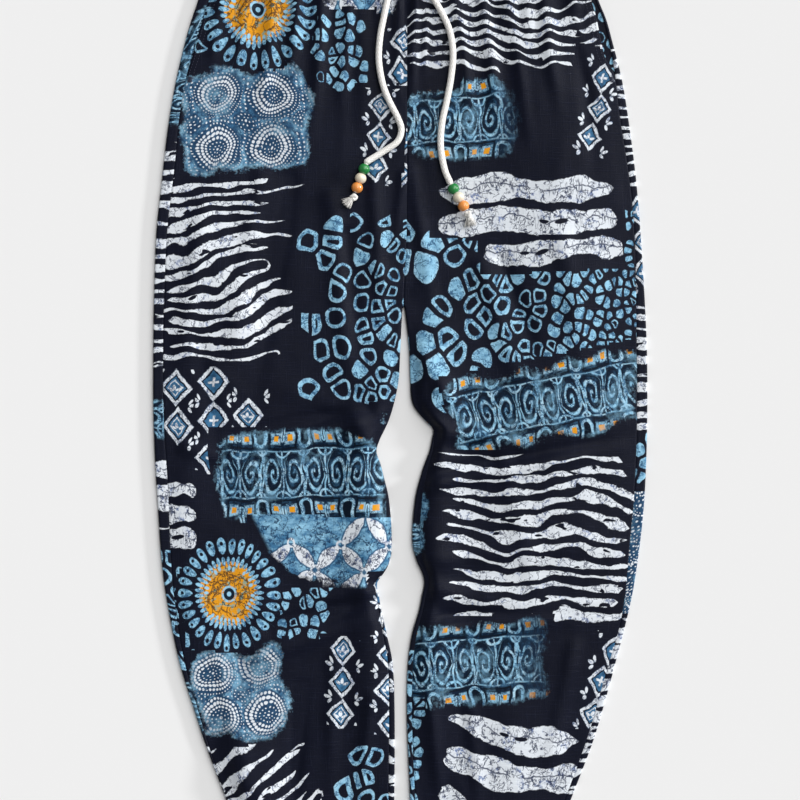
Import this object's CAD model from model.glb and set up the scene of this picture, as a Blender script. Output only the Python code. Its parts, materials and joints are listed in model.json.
import json
import math
import random
from collections import namedtuple

import bpy
from mathutils import Matrix, Vector, noise
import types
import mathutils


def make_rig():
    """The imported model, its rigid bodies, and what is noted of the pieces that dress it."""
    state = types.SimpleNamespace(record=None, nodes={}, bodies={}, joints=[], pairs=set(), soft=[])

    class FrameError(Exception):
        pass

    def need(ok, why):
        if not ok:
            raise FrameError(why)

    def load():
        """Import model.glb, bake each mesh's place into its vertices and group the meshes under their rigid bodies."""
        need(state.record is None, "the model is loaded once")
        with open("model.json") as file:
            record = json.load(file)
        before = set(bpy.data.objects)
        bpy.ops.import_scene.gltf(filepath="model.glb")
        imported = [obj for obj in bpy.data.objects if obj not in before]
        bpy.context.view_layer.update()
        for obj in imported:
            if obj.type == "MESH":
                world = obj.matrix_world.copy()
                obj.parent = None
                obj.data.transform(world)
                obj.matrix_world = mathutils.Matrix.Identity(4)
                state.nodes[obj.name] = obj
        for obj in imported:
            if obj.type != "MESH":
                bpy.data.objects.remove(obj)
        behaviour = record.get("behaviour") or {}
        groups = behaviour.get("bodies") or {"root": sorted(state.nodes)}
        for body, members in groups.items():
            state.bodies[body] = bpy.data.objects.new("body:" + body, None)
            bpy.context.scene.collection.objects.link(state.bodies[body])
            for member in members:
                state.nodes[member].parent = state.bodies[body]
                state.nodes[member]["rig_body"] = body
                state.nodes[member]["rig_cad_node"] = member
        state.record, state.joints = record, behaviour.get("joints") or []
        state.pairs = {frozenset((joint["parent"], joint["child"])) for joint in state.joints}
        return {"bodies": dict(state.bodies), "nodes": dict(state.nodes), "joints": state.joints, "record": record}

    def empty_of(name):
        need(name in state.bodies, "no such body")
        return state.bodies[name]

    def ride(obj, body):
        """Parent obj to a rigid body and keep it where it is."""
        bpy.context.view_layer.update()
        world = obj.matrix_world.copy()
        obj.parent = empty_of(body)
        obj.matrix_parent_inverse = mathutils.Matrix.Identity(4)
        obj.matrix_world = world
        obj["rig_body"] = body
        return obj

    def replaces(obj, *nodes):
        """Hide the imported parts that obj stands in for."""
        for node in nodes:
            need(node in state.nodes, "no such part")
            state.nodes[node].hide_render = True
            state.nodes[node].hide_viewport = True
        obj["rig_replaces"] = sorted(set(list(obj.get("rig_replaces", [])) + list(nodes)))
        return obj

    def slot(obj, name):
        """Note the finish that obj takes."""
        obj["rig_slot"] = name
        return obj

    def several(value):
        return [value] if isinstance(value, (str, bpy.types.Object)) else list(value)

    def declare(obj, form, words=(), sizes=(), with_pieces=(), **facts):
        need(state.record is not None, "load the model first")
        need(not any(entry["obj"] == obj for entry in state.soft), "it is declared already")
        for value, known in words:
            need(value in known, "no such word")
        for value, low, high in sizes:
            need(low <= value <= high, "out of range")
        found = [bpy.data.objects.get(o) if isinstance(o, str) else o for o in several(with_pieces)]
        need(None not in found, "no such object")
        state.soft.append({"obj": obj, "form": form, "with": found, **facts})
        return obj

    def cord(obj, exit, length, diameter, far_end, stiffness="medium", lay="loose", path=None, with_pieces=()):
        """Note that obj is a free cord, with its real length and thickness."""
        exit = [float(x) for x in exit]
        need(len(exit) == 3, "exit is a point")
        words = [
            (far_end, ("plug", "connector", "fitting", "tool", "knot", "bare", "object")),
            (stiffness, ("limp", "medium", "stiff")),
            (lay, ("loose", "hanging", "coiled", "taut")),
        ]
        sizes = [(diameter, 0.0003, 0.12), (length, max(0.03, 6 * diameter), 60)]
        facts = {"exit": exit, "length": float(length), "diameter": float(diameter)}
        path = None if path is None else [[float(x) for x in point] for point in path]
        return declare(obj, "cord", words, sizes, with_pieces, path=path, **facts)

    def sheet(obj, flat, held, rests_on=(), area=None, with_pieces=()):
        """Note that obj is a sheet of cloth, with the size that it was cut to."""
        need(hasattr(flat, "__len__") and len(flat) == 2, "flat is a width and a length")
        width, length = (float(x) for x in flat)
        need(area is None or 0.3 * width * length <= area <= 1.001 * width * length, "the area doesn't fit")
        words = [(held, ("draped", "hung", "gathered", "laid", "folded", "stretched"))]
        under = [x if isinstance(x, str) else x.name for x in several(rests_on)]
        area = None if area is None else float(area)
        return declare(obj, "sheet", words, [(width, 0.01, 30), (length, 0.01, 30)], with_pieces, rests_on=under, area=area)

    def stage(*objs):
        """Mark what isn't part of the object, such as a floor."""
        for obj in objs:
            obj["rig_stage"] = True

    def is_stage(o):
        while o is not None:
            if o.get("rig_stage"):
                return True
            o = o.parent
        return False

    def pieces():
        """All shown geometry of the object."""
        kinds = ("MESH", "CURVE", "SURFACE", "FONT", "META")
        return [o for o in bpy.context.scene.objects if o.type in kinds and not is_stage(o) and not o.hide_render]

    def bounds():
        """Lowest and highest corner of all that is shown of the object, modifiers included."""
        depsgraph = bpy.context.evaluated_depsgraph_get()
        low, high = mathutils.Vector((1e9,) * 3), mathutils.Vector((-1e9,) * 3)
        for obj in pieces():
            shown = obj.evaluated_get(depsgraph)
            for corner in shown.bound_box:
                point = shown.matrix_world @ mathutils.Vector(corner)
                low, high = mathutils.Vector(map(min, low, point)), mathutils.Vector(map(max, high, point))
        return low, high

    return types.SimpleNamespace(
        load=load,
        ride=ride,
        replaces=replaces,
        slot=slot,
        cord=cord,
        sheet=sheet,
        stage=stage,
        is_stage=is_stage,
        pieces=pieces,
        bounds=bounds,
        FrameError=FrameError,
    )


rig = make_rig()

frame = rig.load()
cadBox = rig.bounds()
scene = bpy.context.scene
scene.view_settings.view_transform = "Standard"
mm = 0.001
sideNames = {-1: "left", 1: "right"}
sideColumn = {-1: 1, 1: 2}

# Camera straight above the joggers, framed as in the photo: the waist and the hems lie outside it
camera = {"lens": 85.0, "sensor": 36.0, "place": (-0.0003, 0.033, 2.083), "clip": 50.0}
bpy.ops.object.camera_add(location=camera["place"], rotation=(0, 0, 0))
scene.camera = bpy.context.object
scene.camera.name = "cameraAbove"
scene.camera.data.lens = camera["lens"]
scene.camera.data.sensor_width = camera["sensor"]
scene.camera.data.clip_end = camera["clip"]

# Lengths are in millimetres. "Down" runs from the waistband's top edge to the hems.
body = {
    "length": 1045.0, "bandSeam": 42.0, "cuffSeam": 1012.0, "crotch": 388.0, "cloth": 1.2, "fold": 5.0,
    "gap": 0.3, "sag": 1.2, "gatherPitch": 23.0, "gatherHeight": 4.2, "gatherFade": 84.0,
    "cuffPitch": 24.0, "cuffHeight": 2.8, "cuffFade": 46.0, "billow": 0.45, "outerEase": 26.0,
    "lowest": -2.0, "innerEase": 13.0, "weltEase": 70.0, "mouthEnd": 136.0, "pocketEase": 24.0,
    "facingWidth": 32.0, "softFolds": 1.5, "bandEase": 10.0, "slow": 1.3, "quick": 0.45,
}
cordClear = {"end": 290.0, "bare": 5.0, "ease": 11.0}
printCarried = {"end": 260.0, "ease": 170.0, "gathers": 0.7, "folds": 1.3}
halfFold = body["fold"] / 2
foldRadius = (body["fold"] - body["cloth"]) / 2
halfRound = math.pi * foldRadius
topMiddle = body["fold"] - body["cloth"] / 2
halfGap = body["gap"] / 2

# Outer folds: down, left leg, right leg
sides = (
    (0, -217.0, 214.0), (42, -221.0, 216.5), (72, -230.5, 227.5), (94, -236.8, 233.5), (138, -247.2, 244.5),
    (190, -256.1, 252.8), (246, -262.6, 259.8), (305, -268.8, 264.8), (386, -271.6, 269.8),
    (442, -272.2, 272.0), (498, -272.2, 272.3), (554, -270.4, 271.2), (610, -267.0, 268.2),
    (667, -263.0, 261.6), (712, -257.0, 254.0), (779, -243.2, 237.2), (835, -225.8, 221.8),
    (869, -214.6, 211.2), (930, -191.8, 187.8), (990, -169.8, 164.4), (1012, -162.0, 156.0),
    (1045, -157.0, 151.0),
)

# Inner folds below the crotch, notched by the creases that run into them
inners = (
    (388, 2.6, 4.6), (431, 0.3, 9.4), (467, -1.6, 10.8), (494, -6.9, 13.6), (512, -12.5, 27.0),
    (521, -16.6, 36.0), (533, -22.4, 34.6), (546, -26.1, 31.8), (560, -21.6, 26.4), (571, -18.8, 22.8),
    (598, -12.4, 16.2), (645, -9.0, 12.9), (667, -11.0, 18.0), (680, -18.0, 24.0), (691, -25.4, 26.2),
    (706, -23.2, 23.4), (721, -20.6, 20.4), (748, -14.6, 12.6), (780, -8.2, 8.2), (835, -6.0, 7.0),
    (930, -6.4, 10.6), (1012, -8.0, 13.0), (1045, -10.0, 15.0),
)

# How far each seam lies from the top of its fold: down, left outer, right outer, left inner, right inner
rolls = (
    (0, 9.0, 0.8, -3.0, -3.0), (42, 9.2, 0.8, -3.0, -3.0), (100, 8.6, 1.8, -3.0, -3.0),
    (170, 8.4, 6.8, -3.0, -3.0), (220, 10.0, 5.8, -3.0, -3.0), (293, 9.8, 4.4, -3.0, -3.0),
    (388, 9.0, 7.6, -3.0, -3.0), (431, 8.6, 9.0, -3.0, -3.0), (519, 9.4, 9.2, -3.0, -1.0),
    (577, 10.4, 9.4, -3.0, 4.4), (645, 9.0, 9.4, -2.0, 6.2), (712, 6.4, 5.2, 0.4, 2.0),
    (744, 4.6, 3.8, 1.6, 3.0), (800, 3.0, 5.6, 3.4, 3.4), (869, 1.0, 5.4, 4.0, 3.2),
    (930, -1.6, 4.6, 4.0, 3.2), (1045, -2.4, 4.4, 3.6, 3.2),
)

# Centre seams above the crotch: down, front, back
centres = ((0, 7.4, 4.0), (300, 7.2, 4.0), (388, 3.6, 3.6), (1045, 3.6, 3.6))

# Soft creases: from x, down, to x, down, height, half width. Troughs have a height below 0.
creases = (
    (38, 522, 150, 540, 4.6, 9.0), (120, 530, 262, 506, 2.6, 13.0), (-27, 546, -62, 492, 4.4, 9.0),
    (-62, 500, -150, 470, 2.0, 14.0), (26, 692, 96, 712, 4.0, 9.0), (84, 706, 176, 726, 2.2, 13.0),
    (-26, 692, -104, 714, 3.6, 10.0), (-42, 52, -38, 206, 2.2, 11.0), (74, 52, 72, 232, 2.0, 11.0),
    (-112, 60, -124, 236, 1.6, 14.0), (142, 60, 156, 226, 1.6, 14.0), (0, 372, -52, 318, 2.0, 10.0),
    (12, 372, 66, 322, 2.0, 10.0), (-206, 330, -150, 452, 1.5, 18.0), (212, 352, 168, 452, 1.5, 18.0),
    (-204, 620, -120, 780, 1.7, 18.0), (190, 770, 100, 860, 1.8, 16.0), (-70, 830, -120, 930, 1.6, 15.0),
)
fineCreases = (
    (-20, 520, -58, 468, -1.3, 5.0), (-30, 562, -78, 540, -1.2, 6.0), (44, 540, 116, 562, -1.4, 6.0),
    (30, 498, 92, 470, 0.9, 6.0), (-28, 706, -86, 738, -1.2, 6.0), (28, 712, 104, 746, -1.3, 6.0),
    (16, 660, 70, 668, 0.8, 7.0), (-14, 660, -60, 664, 0.8, 7.0), (-60, 120, -66, 300, 0.7, 7.0),
    (30, 150, 40, 330, 0.6, 7.0), (-190, 200, -160, 330, 0.6, 9.0), (180, 190, 160, 330, 0.7, 9.0),
    (-236, 430, -150, 500, 0.8, 8.0), (236, 560, 150, 610, 0.8, 8.0), (-230, 700, -150, 720, 0.7, 8.0),
    (200, 840, 120, 900, 0.7, 8.0), (-180, 900, -110, 960, 0.8, 8.0), (60, 900, 90, 980, 0.7, 8.0),
)

# Where the two ends of the drawcord lie on the cloth: down, left, right
cordLines = (
    (0, -8.0, 22.4), (33, -9.2, 27.2), (66, -17.4, 46.4), (91, -22.2, 55.4), (116, -23.6, 57.6),
    (141, -19.6, 54.8), (170, -7.6, 49.0), (193, 1.2, 45.4), (206, -3.6, 44.5), (222, -27.0, 46.2),
    (236, -39.6, 48.8), (258, -47.4, 58.4), (280, -52.0, 69.0), (300, -52.0, 69.0),
)

# Softer folds that only the cloth's own shell has: the fan below the waistband, the thighs, knees and shins
softFolds = (
    (-53, 36, -66, 170, 2.6, 6), (-24, 36, -18, 116, 2, 5), (-4, 36, -1, 193, 1.6, 5),
    (16, 36, 13, 170, 2.2, 5), (31, 36, 27, 138, 2.2, 4.5), (57, 36, 77, 170, 2.6, 6), (90, 36, 110, 193, 3, 7),
    (119, 36, 143, 215, 2.6, 7), (154, 36, 176, 182, 2.8, 8), (189, 36, 209, 148, 2.2, 7),
    (-83, 36, -97, 204, 2.8, 7), (-110, 36, -123, 148, 2.2, 6), (-138, 36, -152, 182, 2.4, 7),
    (-167, 36, -181, 138, 2, 6), (-196, 36, -207, 127, 1.8, 6), (-152, 237, -193, 490, 2.4, 12),
    (-215, 270, -242, 468, 1.8, 10), (-77, 258, -53, 479, 2.4, 11), (-31, 226, -17, 446, 2.2, 8),
    (4, 237, -5, 314, 1.6, 5), (13, 231, 39, 413, 2.2, 8), (5, 413, -31, 522, 2.6, 9),
    (20, 435, 77, 522, 2.4, 9), (88, 336, 132, 479, 2.4, 10), (176, 302, 203, 468, 2, 12),
    (-193, 547, -6, 506, 2.6, 9), (-242, 539, -165, 566, 1.6, 8), (35, 580, 264, 534, 3, 11),
    (33, 666, 264, 644, 1.5, 12), (44, 740, 247, 716, 2.8, 9), (110, 539, 154, 732, 1.5, 12),
    (-165, 776, -9, 721, 2.4, 10), (-72, 765, -77, 919, 2, 8), (-31, 809, -44, 930, 1.8, 7),
    (-204, 754, -165, 919, 1.6, 10), (33, 820, 44, 930, 2.2, 7), (77, 820, 88, 952, 1.8, 8),
    (192, 754, 159, 919, 2, 9), (30, 572, 262, 528, -3.2, 7), (40, 728, 250, 722, -2.4, 7),
    (-190, 532, -10, 492, -2.4, 7), (-150, 742, -12, 704, -2.6, 8), (-120, 240, -158, 480, -2, 9),
    (110, 330, 150, 440, -2.2, 8), (-60, 300, -44, 470, -2, 8), (60, 430, 20, 500, -2, 7),
    (196, 60, 214, 250, -2, 8), (-222, 420, -196, 560, -1.6, 9), (-110, 800, -120, 960, -2, 8),
)

# Broad mounds where the cloth lies puffed: x, down, half width, half length, height
mounds = (
    (178, 300, 62, 230, 8.0), (168, 590, 76, 150, 6.5), (38, 470, 24, 62, 9.0), (42, 560, 20, 50, 6.5),
    (38, 640, 22, 56, 8.5), (38, 770, 22, 90, 7.5), (-166, 915, 32, 74, 9.5), (-232, 660, 26, 130, 3.5),
    (-36, 480, 26, 60, 5.5), (-48, 560, 20, 46, 5.0), (-34, 650, 22, 60, 6.0), (-32, 770, 22, 90, 6.0),
    (-214, 360, 40, 150, 4.0), (120, 860, 50, 90, 5.0),
)


def read(table, column, down):
    # The table's value on a smooth curve through its rows
    last = len(table) - 1
    low = 0
    while low < last - 1 and table[low + 1][0] <= down:
        low += 1

    def slope(row):
        before, after = table[max(row - 1, 0)], table[min(row + 1, last)]
        return (after[column] - before[column]) / (after[0] - before[0])

    start, end = table[low], table[low + 1]
    span = end[0] - start[0]
    part = min(max((down - start[0]) / span, 0.0), 1.0)
    square, cube = part * part, part ** 3
    value = start[column] * (2 * cube - 3 * square + 1) + end[column] * (3 * square - 2 * cube)
    return value + span * (slope(low) * (cube - 2 * square + part) + slope(low + 1) * (cube - square))


def ease(value):
    value = min(max(value, 0.0), 1.0)
    return value * value * (3 - 2 * value)


def spread(start, end, count):
    return [start + (end - start) * index / count for index in range(count + 1)]


def outerX(side, down):
    return read(sides, sideColumn[side], down)


def innerX(side, down):
    if down <= body["crotch"]:
        return read(centres, 1, down) + side * halfGap
    return read(inners, sideColumn[side], down)


def backInnerX(side, down):
    if down <= body["crotch"]:
        return read(centres, 2, down) + side * halfGap
    return innerX(side, down)


def seamFrom(side, down, inner=False):
    # How far a front panel's outer or inner edge lies from the fold's side
    return halfFold + read(rolls, sideColumn[side] + 2 * inner, down) + halfGap


def gatherWave(x, pitch):
    crown = 0.5 + 0.5 * math.cos(2 * math.pi * x / pitch + 1.1 * math.sin(x / 37))
    return crown * (0.68 + 0.32 * math.sin(x / 19 + 1.0))


def creaseHeight(x, down, lines):
    total = 0.0
    for x0, down0, x1, down1, height, halfWidth in lines:
        alongX, alongDown = x1 - x0, down1 - down0
        span = math.hypot(alongX, alongDown)
        aside = ((x - x0) * alongDown - (down - down0) * alongX) / span
        if abs(aside) > 3 * halfWidth:
            continue
        along = ((x - x0) * alongX + (down - down0) * alongDown) / span
        fade = ease(0.5 + along / (2 * halfWidth)) * ease(1.0 - (along - 0.55 * span) / (0.55 * span))
        total += height * fade * math.exp(-((aside / halfWidth) ** 2))
    return total


def moundHeight(x, down):
    total = 0.0
    for middleX, middleDown, halfWidth, halfLength, height in mounds:
        off = ((x - middleX) / halfWidth) ** 2 + ((down - middleDown) / halfLength) ** 2
        if off < 6.0:
            total += height * (math.exp(-off) - 0.0025)
    return total


def crumple(x, down):
    # The slow unevenness of cloth that was smoothed out by hand
    slow = noise.noise(Vector((x / 46, down / 70, 3.1)))
    quick = noise.noise(Vector((x / 17, down / 25, 8.7)))
    return body["slow"] * slow + body["quick"] * quick


def clearOfCords(x, down):
    # 0 under the drawcord and 1 away from it
    if down > cordClear["end"]:
        return 1.0
    off = min(abs(x - read(cordLines, column, down)) for column in sideColumn.values())
    return ease((off - cordClear["bare"]) / cordClear["ease"])


def gathered(x, down):
    # The waistband's gathers, which fade down the leg
    nearBand = ease(1 - (down - body["bandSeam"]) / body["gatherFade"])
    return body["gatherHeight"] * gatherWave(x, body["gatherPitch"]) * nearBand


def lift(side, down, across):
    x = outerX(side, down) - side * across
    width = abs(innerX(side, down) - outerX(side, down))
    fromOuter = ease((across - halfFold) / body["outerEase"])
    welt = 1.0 if down > body["crotch"] else ease(1 - (body["crotch"] - down) / body["weltEase"])
    fromInner = 1 - welt * (1 - ease((width - across - halfFold) / body["innerEase"]))
    soft = fromOuter * fromInner
    atPocket = ease((body["mouthEnd"] + body["pocketEase"] - down) / body["pocketEase"])
    atPocket *= ease((body["facingWidth"] + 10 - across) / body["pocketEase"] + 1)
    sag = -body["sag"] * soft * (1 - atPocket)
    billow = body["billow"] * (1 + math.sin(x / 41 + 0.6) * math.sin(down / 67 + 1.1))
    gathers = gathered(x, down) * ease((across - body["bandEase"]) / body["outerEase"])
    nearCuff = ease(1 - (body["cuffSeam"] - down) / body["cuffFade"])
    atHem = body["cuffHeight"] * gatherWave(x, body["cuffPitch"]) * nearCuff
    calm = soft * (1 - 0.8 * atPocket)
    folds = creaseHeight(x, down, creases + fineCreases)
    folds += body["softFolds"] * clearOfCords(x, down) * creaseHeight(x, down, softFolds)
    puffed = moundHeight(x, down) * (1 - 0.7 * atPocket)
    rise = sag + gathers * (1 - 0.5 * atPocket) + soft * (billow + folds + atHem + puffed)
    return max(rise + calm * crumple(x, down), body["lowest"])


def printShift(x, down):
    # How far the gathers and folds below the waistband carry the print down the leg
    near = ease((printCarried["end"] - down) / printCarried["ease"])
    if near == 0.0:
        return 0.0
    folds = printCarried["folds"] * creaseHeight(x, down, softFolds)
    return near * (printCarried["gathers"] * gathered(x, down) + folds)


def roundFold(middle, angle, outward, upward):
    # A point on a fold whose middle lies at middle, at an angle from its top or its bottom
    return middle + outward * foldRadius * math.sin(angle), halfFold + upward * foldRadius * math.cos(angle)


def frontPoint(side, down, run):
    # A point of the front panel's middle surface, measured on the top from the outer edge inwards
    innerTurn = abs(innerX(side, down) - outerX(side, down)) - halfFold
    if run < halfFold:
        across, height = roundFold(halfFold, (halfFold - run) / foldRadius, -1, 1)
    elif down > body["crotch"] and run > innerTurn:
        across, height = roundFold(innerTurn, (run - innerTurn) / foldRadius, 1, 1)
    else:
        across, height = run, topMiddle + lift(side, down, run)
    return outerX(side, down) - side * across, height


def backPoint(side, down, run):
    # A point of the back panel's middle surface, measured underneath and on round both folds
    innerTurn = abs(backInnerX(side, down) - outerX(side, down)) - halfFold
    if run < halfFold - halfRound:
        across = halfFold + (halfFold - halfRound - run)
        height = topMiddle + lift(side, down, across)
    elif run < halfFold:
        across, height = roundFold(halfFold, (halfFold - run) / foldRadius, -1, -1)
    elif down <= body["crotch"] or run <= innerTurn:
        across, height = run, body["cloth"] / 2
    elif run <= innerTurn + halfRound:
        across, height = roundFold(innerTurn, (run - innerTurn) / foldRadius, 1, -1)
    else:
        across = innerTurn - (run - (innerTurn + halfRound))
        height = topMiddle + lift(side, down, across)
    return outerX(side, down) - side * across, height


def place(x, down, height):
    return Vector((x * mm, (body["length"] / 2 - down) * mm, height * mm))


def nothingSelected():
    for item in bpy.context.selected_objects:
        item.select_set(False)


def onlySelected(item):
    nothingSelected()
    item.select_set(True)
    bpy.context.view_layer.objects.active = item


def named(item, name):
    item.name = name
    item.data.name = name
    return item


def joined(pieces, name):
    onlySelected(pieces[0])
    for piece in pieces:
        piece.select_set(True)
    bpy.ops.object.join()
    return named(bpy.context.object, name)


def cleaned(item, merge=None, outward=True):
    # Merges points that lie together, and turns the faces outwards
    onlySelected(item)
    bpy.ops.object.mode_set(mode="EDIT")
    bpy.ops.mesh.select_all(action="SELECT")
    if merge:
        bpy.ops.mesh.remove_doubles(threshold=merge)
    if outward:
        bpy.ops.mesh.normals_make_consistent(inside=False)
    bpy.ops.object.mode_set(mode="OBJECT")


def standsFor(item, node, slot):
    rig.replaces(item, node)
    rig.slot(item, slot)
    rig.ride(item, "root")
    return item


def useModifier(item, kind, **settings):
    onlySelected(item)
    added = item.modifiers.new(kind.lower(), kind)
    for name, value in settings.items():
        setattr(added, name, value)
    bpy.ops.object.modifier_apply(modifier=added.name)


class Num:
    # A shader value that can be added and multiplied as a number
    def __init__(self, socket):
        self.tree, self.socket = socket.id_data, socket

    def op(self, operation, *others):
        return maths(self.tree, operation, self, *others)

    def __rsub__(self, other):
        return maths(self.tree, "SUBTRACT", other, self)

    def ramp(self, low, high):
        # 0 below low and 1 above high
        return Num(newNode(self.tree, "MapRange", {0: self, 1: low, 2: high}).outputs[0])


mathsWords = {
    "__add__": "ADD", "__radd__": "ADD", "__sub__": "SUBTRACT", "__mul__": "MULTIPLY", "__rmul__": "MULTIPLY",
    "__truediv__": "DIVIDE", "floor": "FLOOR", "frac": "FRACT", "size": "ABSOLUTE", "root": "SQRT",
    "least": "MINIMUM", "most": "MAXIMUM", "over": "GREATER_THAN", "under": "LESS_THAN", "power": "POWER",
    "sine": "SINE", "cosine": "COSINE", "arctan": "ARCTAN2",
}
for word, operation in mathsWords.items():
    setattr(Num, word, lambda self, *others, operation=operation: self.op(operation, *others))


def newNode(tree, kind, takes, **settings):
    node = tree.nodes.new("ShaderNode" + kind)
    for name, value in settings.items():
        setattr(node, name, value)
    for spot, value in takes.items():
        feed(node.inputs[spot], value)
    return node


def feed(spot, value):
    # Links a value to an input, or sets the input to a plain number or a named colour
    if isinstance(value, Num):
        value = value.socket
    if isinstance(value, bpy.types.NodeSocket):
        spot.id_data.links.new(value, spot)
    else:
        spot.default_value = colours[value] if isinstance(value, str) else value


def maths(tree, operation, *values):
    return Num(newNode(tree, "Math", dict(enumerate(values)), operation=operation).outputs[0])


def point(x, y, z=0.0):
    return newNode(x.tree, "CombineXYZ", {0: x, 1: y, 2: z}).outputs[0]


def parts(vector):
    return [Num(output) for output in newNode(vector.id_data, "SeparateXYZ", {0: vector}).outputs]


def hypot(x, y):
    return (x * x + y * y).root()


def cloud(x, y, detail=2.0, rough=0.5):
    takes = {"Vector": point(x, y), "Scale": 1.0, "Detail": detail, "Roughness": rough}
    return Num(newNode(x.tree, "TexNoise", takes, noise_dimensions="2D").outputs["Fac"])


def chanceOf(x, y):
    # Rounded first, so that the last digit of an interpolated value doesn't change the chance
    steps = [(value * 8 + 0.5).floor() if isinstance(value, Num) else value for value in (x, y)]
    takes = {"Vector": point(*steps)}
    return Num(newNode(x.tree, "TexWhiteNoise", takes, noise_dimensions="2D").outputs["Value"])


def cells(x, y, feature, randomness=1.0):
    takes = {"Vector": point(x, y), "Scale": 1.0, "Randomness": randomness}
    return newNode(x.tree, "TexVoronoi", takes, voronoi_dimensions="2D", feature=feature).outputs


def cellEdge(x, y, randomness=1.0):
    return Num(cells(x, y, "DISTANCE_TO_EDGE", randomness)["Distance"])


def blended(mask, under, over):
    return newNode(mask.tree, "Mix", {0: mask, 6: under, 7: over}, data_type="RGBA").outputs[2]


def multiplied(colour, shade):
    return newNode(shade.tree, "VectorMath", {0: colour, "Scale": shade}, operation="SCALE").outputs[0]


def newGroup(name, takes, gives):
    # An input of None is a vector, and an output called Colour is a colour. The others are numbers.
    tree = bpy.data.node_groups.new(name, "ShaderNodeTree")
    for label, value in takes.items():
        kind = "NodeSocketVector" if value is None else "NodeSocketFloat"
        socket = tree.interface.new_socket(label, in_out="INPUT", socket_type=kind)
        if value is not None:
            socket.default_value = value
    for label in gives:
        kind = "NodeSocketColor" if label == "Colour" else "NodeSocketFloat"
        tree.interface.new_socket(label, in_out="OUTPUT", socket_type=kind)
    return tree, tree.nodes.new("NodeGroupInput").outputs, tree.nodes.new("NodeGroupOutput").inputs


def useGroup(tree, group, **values):
    outputs = newNode(tree, "Group", values, node_tree=group).outputs
    return {output.name: Num(output) for output in outputs}


def uvMap(tree, name):
    return newNode(tree, "UVMap", {}, uv_map=name).outputs[0]


def objectPlace(tree):
    return newNode(tree, "TexCoord", {}).outputs["Object"]


def newMaterial(name, shine):
    # A material, its node tree and its shader's inputs
    made = bpy.data.materials.new(name)
    made.use_nodes = True
    inputs = made.node_tree.nodes["Principled BSDF"].inputs
    for label, value in shine.items():
        inputs[label].default_value = value
    return made, made.node_tree, inputs


def addBump(inputs, height, strength, distance):
    takes = {"Strength": strength, "Distance": distance, "Height": height}
    feed(inputs["Normal"], newNode(height.tree, "Bump", takes).outputs[0])


colours = {
    "navy": (0.0052, 0.0066, 0.0155, 1.0), "ink": (0.0020, 0.0070, 0.0170, 1.0),
    "shade": (0.012, 0.040, 0.094, 1.0),
    "night": (0.003, 0.013, 0.034, 1.0), "deep": (0.024, 0.082, 0.172, 1.0), "mid": (0.055, 0.180, 0.335, 1.0),
    "light": (0.300, 0.585, 0.785, 1.0), "pale": (0.500, 0.730, 0.870, 1.0),
    "white": (0.740, 0.785, 0.840, 1.0),
    "gold": (0.760, 0.320, 0.012, 1.0), "teal": (0.190, 0.400, 0.360, 1.0), "crack": (0.026, 0.036, 0.080, 1.0),
    "violet": (0.050, 0.115, 0.330, 1.0),
}

# Drawcord ends: the middle of each cord as x, down and height, out of its buttonhole to the first bead
cord = {
    "diameter": 7.0, "inBead": 4.6, "step": 0.75, "around": 24, "strands": 8, "braidPitch": 5.2,
    "relief": 0.055, "slack": 0.02, "bent": 3.2, "straight": 0.8, "past": 0.2,
    "narrowFrom": 0.6, "narrows": 2.6,
    "exit": {-1: (-8.0, 16.0, 7.0), 1: (22.4, 16.0, 7.0)},
}
cordRoutes = {
    -1: (
        (-8.0, 16.0, 7.0), (-8.2, 24.0, 11.2), (-9.2, 33.0, 12.2), (-13.6, 49.0, 10.7), (-18.2, 70.0, 10.0),
        (-22.2, 91.0, 9.0), (-23.6, 116.0, 8.9), (-19.6, 141.0, 8.8), (-12.6, 160.0, 8.4), (-2.6, 180.0, 8.2),
        (1.2, 193.0, 8.2), (-3.6, 206.0, 8.2), (-18.6, 216.5, 8.6), (-32.4, 225.4, 10.2),
    ),
    1: (
        (22.4, 16.0, 7.0), (23.0, 24.0, 11.4), (27.2, 33.0, 12.6), (36.6, 49.0, 10.9), (46.4, 66.0, 10.4),
        (54.4, 84.6, 9.3), (58.0, 108.4, 9.2), (56.0, 133.6, 8.8), (51.4, 159.6, 8.5), (46.0, 184.8, 8.2),
        (44.4, 210.0, 8.0), (48.4, 235.0, 8.5), (54.6, 250.4, 10.0),
    ),
}
bead = {
    "diameter": 12.7, "length": 10.5, "bore": 5.4, "pitch": 10.9, "flat": 1.12, "round": 0.86, "softened": 0.05,
    "start": {-1: (-39.6, 236.2, 11.2), 1: (58.4, 257.8, 10.7)},
    "turn": {-1: (-0.354, 0.935), 1: (0.504, 0.864)},
    "order": ("green", "cream", "orange"),
}
knot = {
    "diameter": 9.4, "drop": 1.2, "tail": {-1: (-0.72, 0.69), 1: (0.24, 0.97)}, "dip": -0.10, "swing": 0.6,
    "steps": 96, "loop": 0.86, "strand": 1.95, "threads": 90, "from": 2.2, "spread": 2.3, "reach": (8.6, 12.2),
    "fan": (0.25, 0.62), "yarn": 0.42, "thinned": 0.20, "sink": 1.3, "above": 0.35,
}


def beadMiddle(side, number):
    x, down, height = bead["start"][side]
    across, along = bead["turn"][side]
    return x + across * bead["pitch"] * number, down + along * bead["pitch"] * number, height


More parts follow.
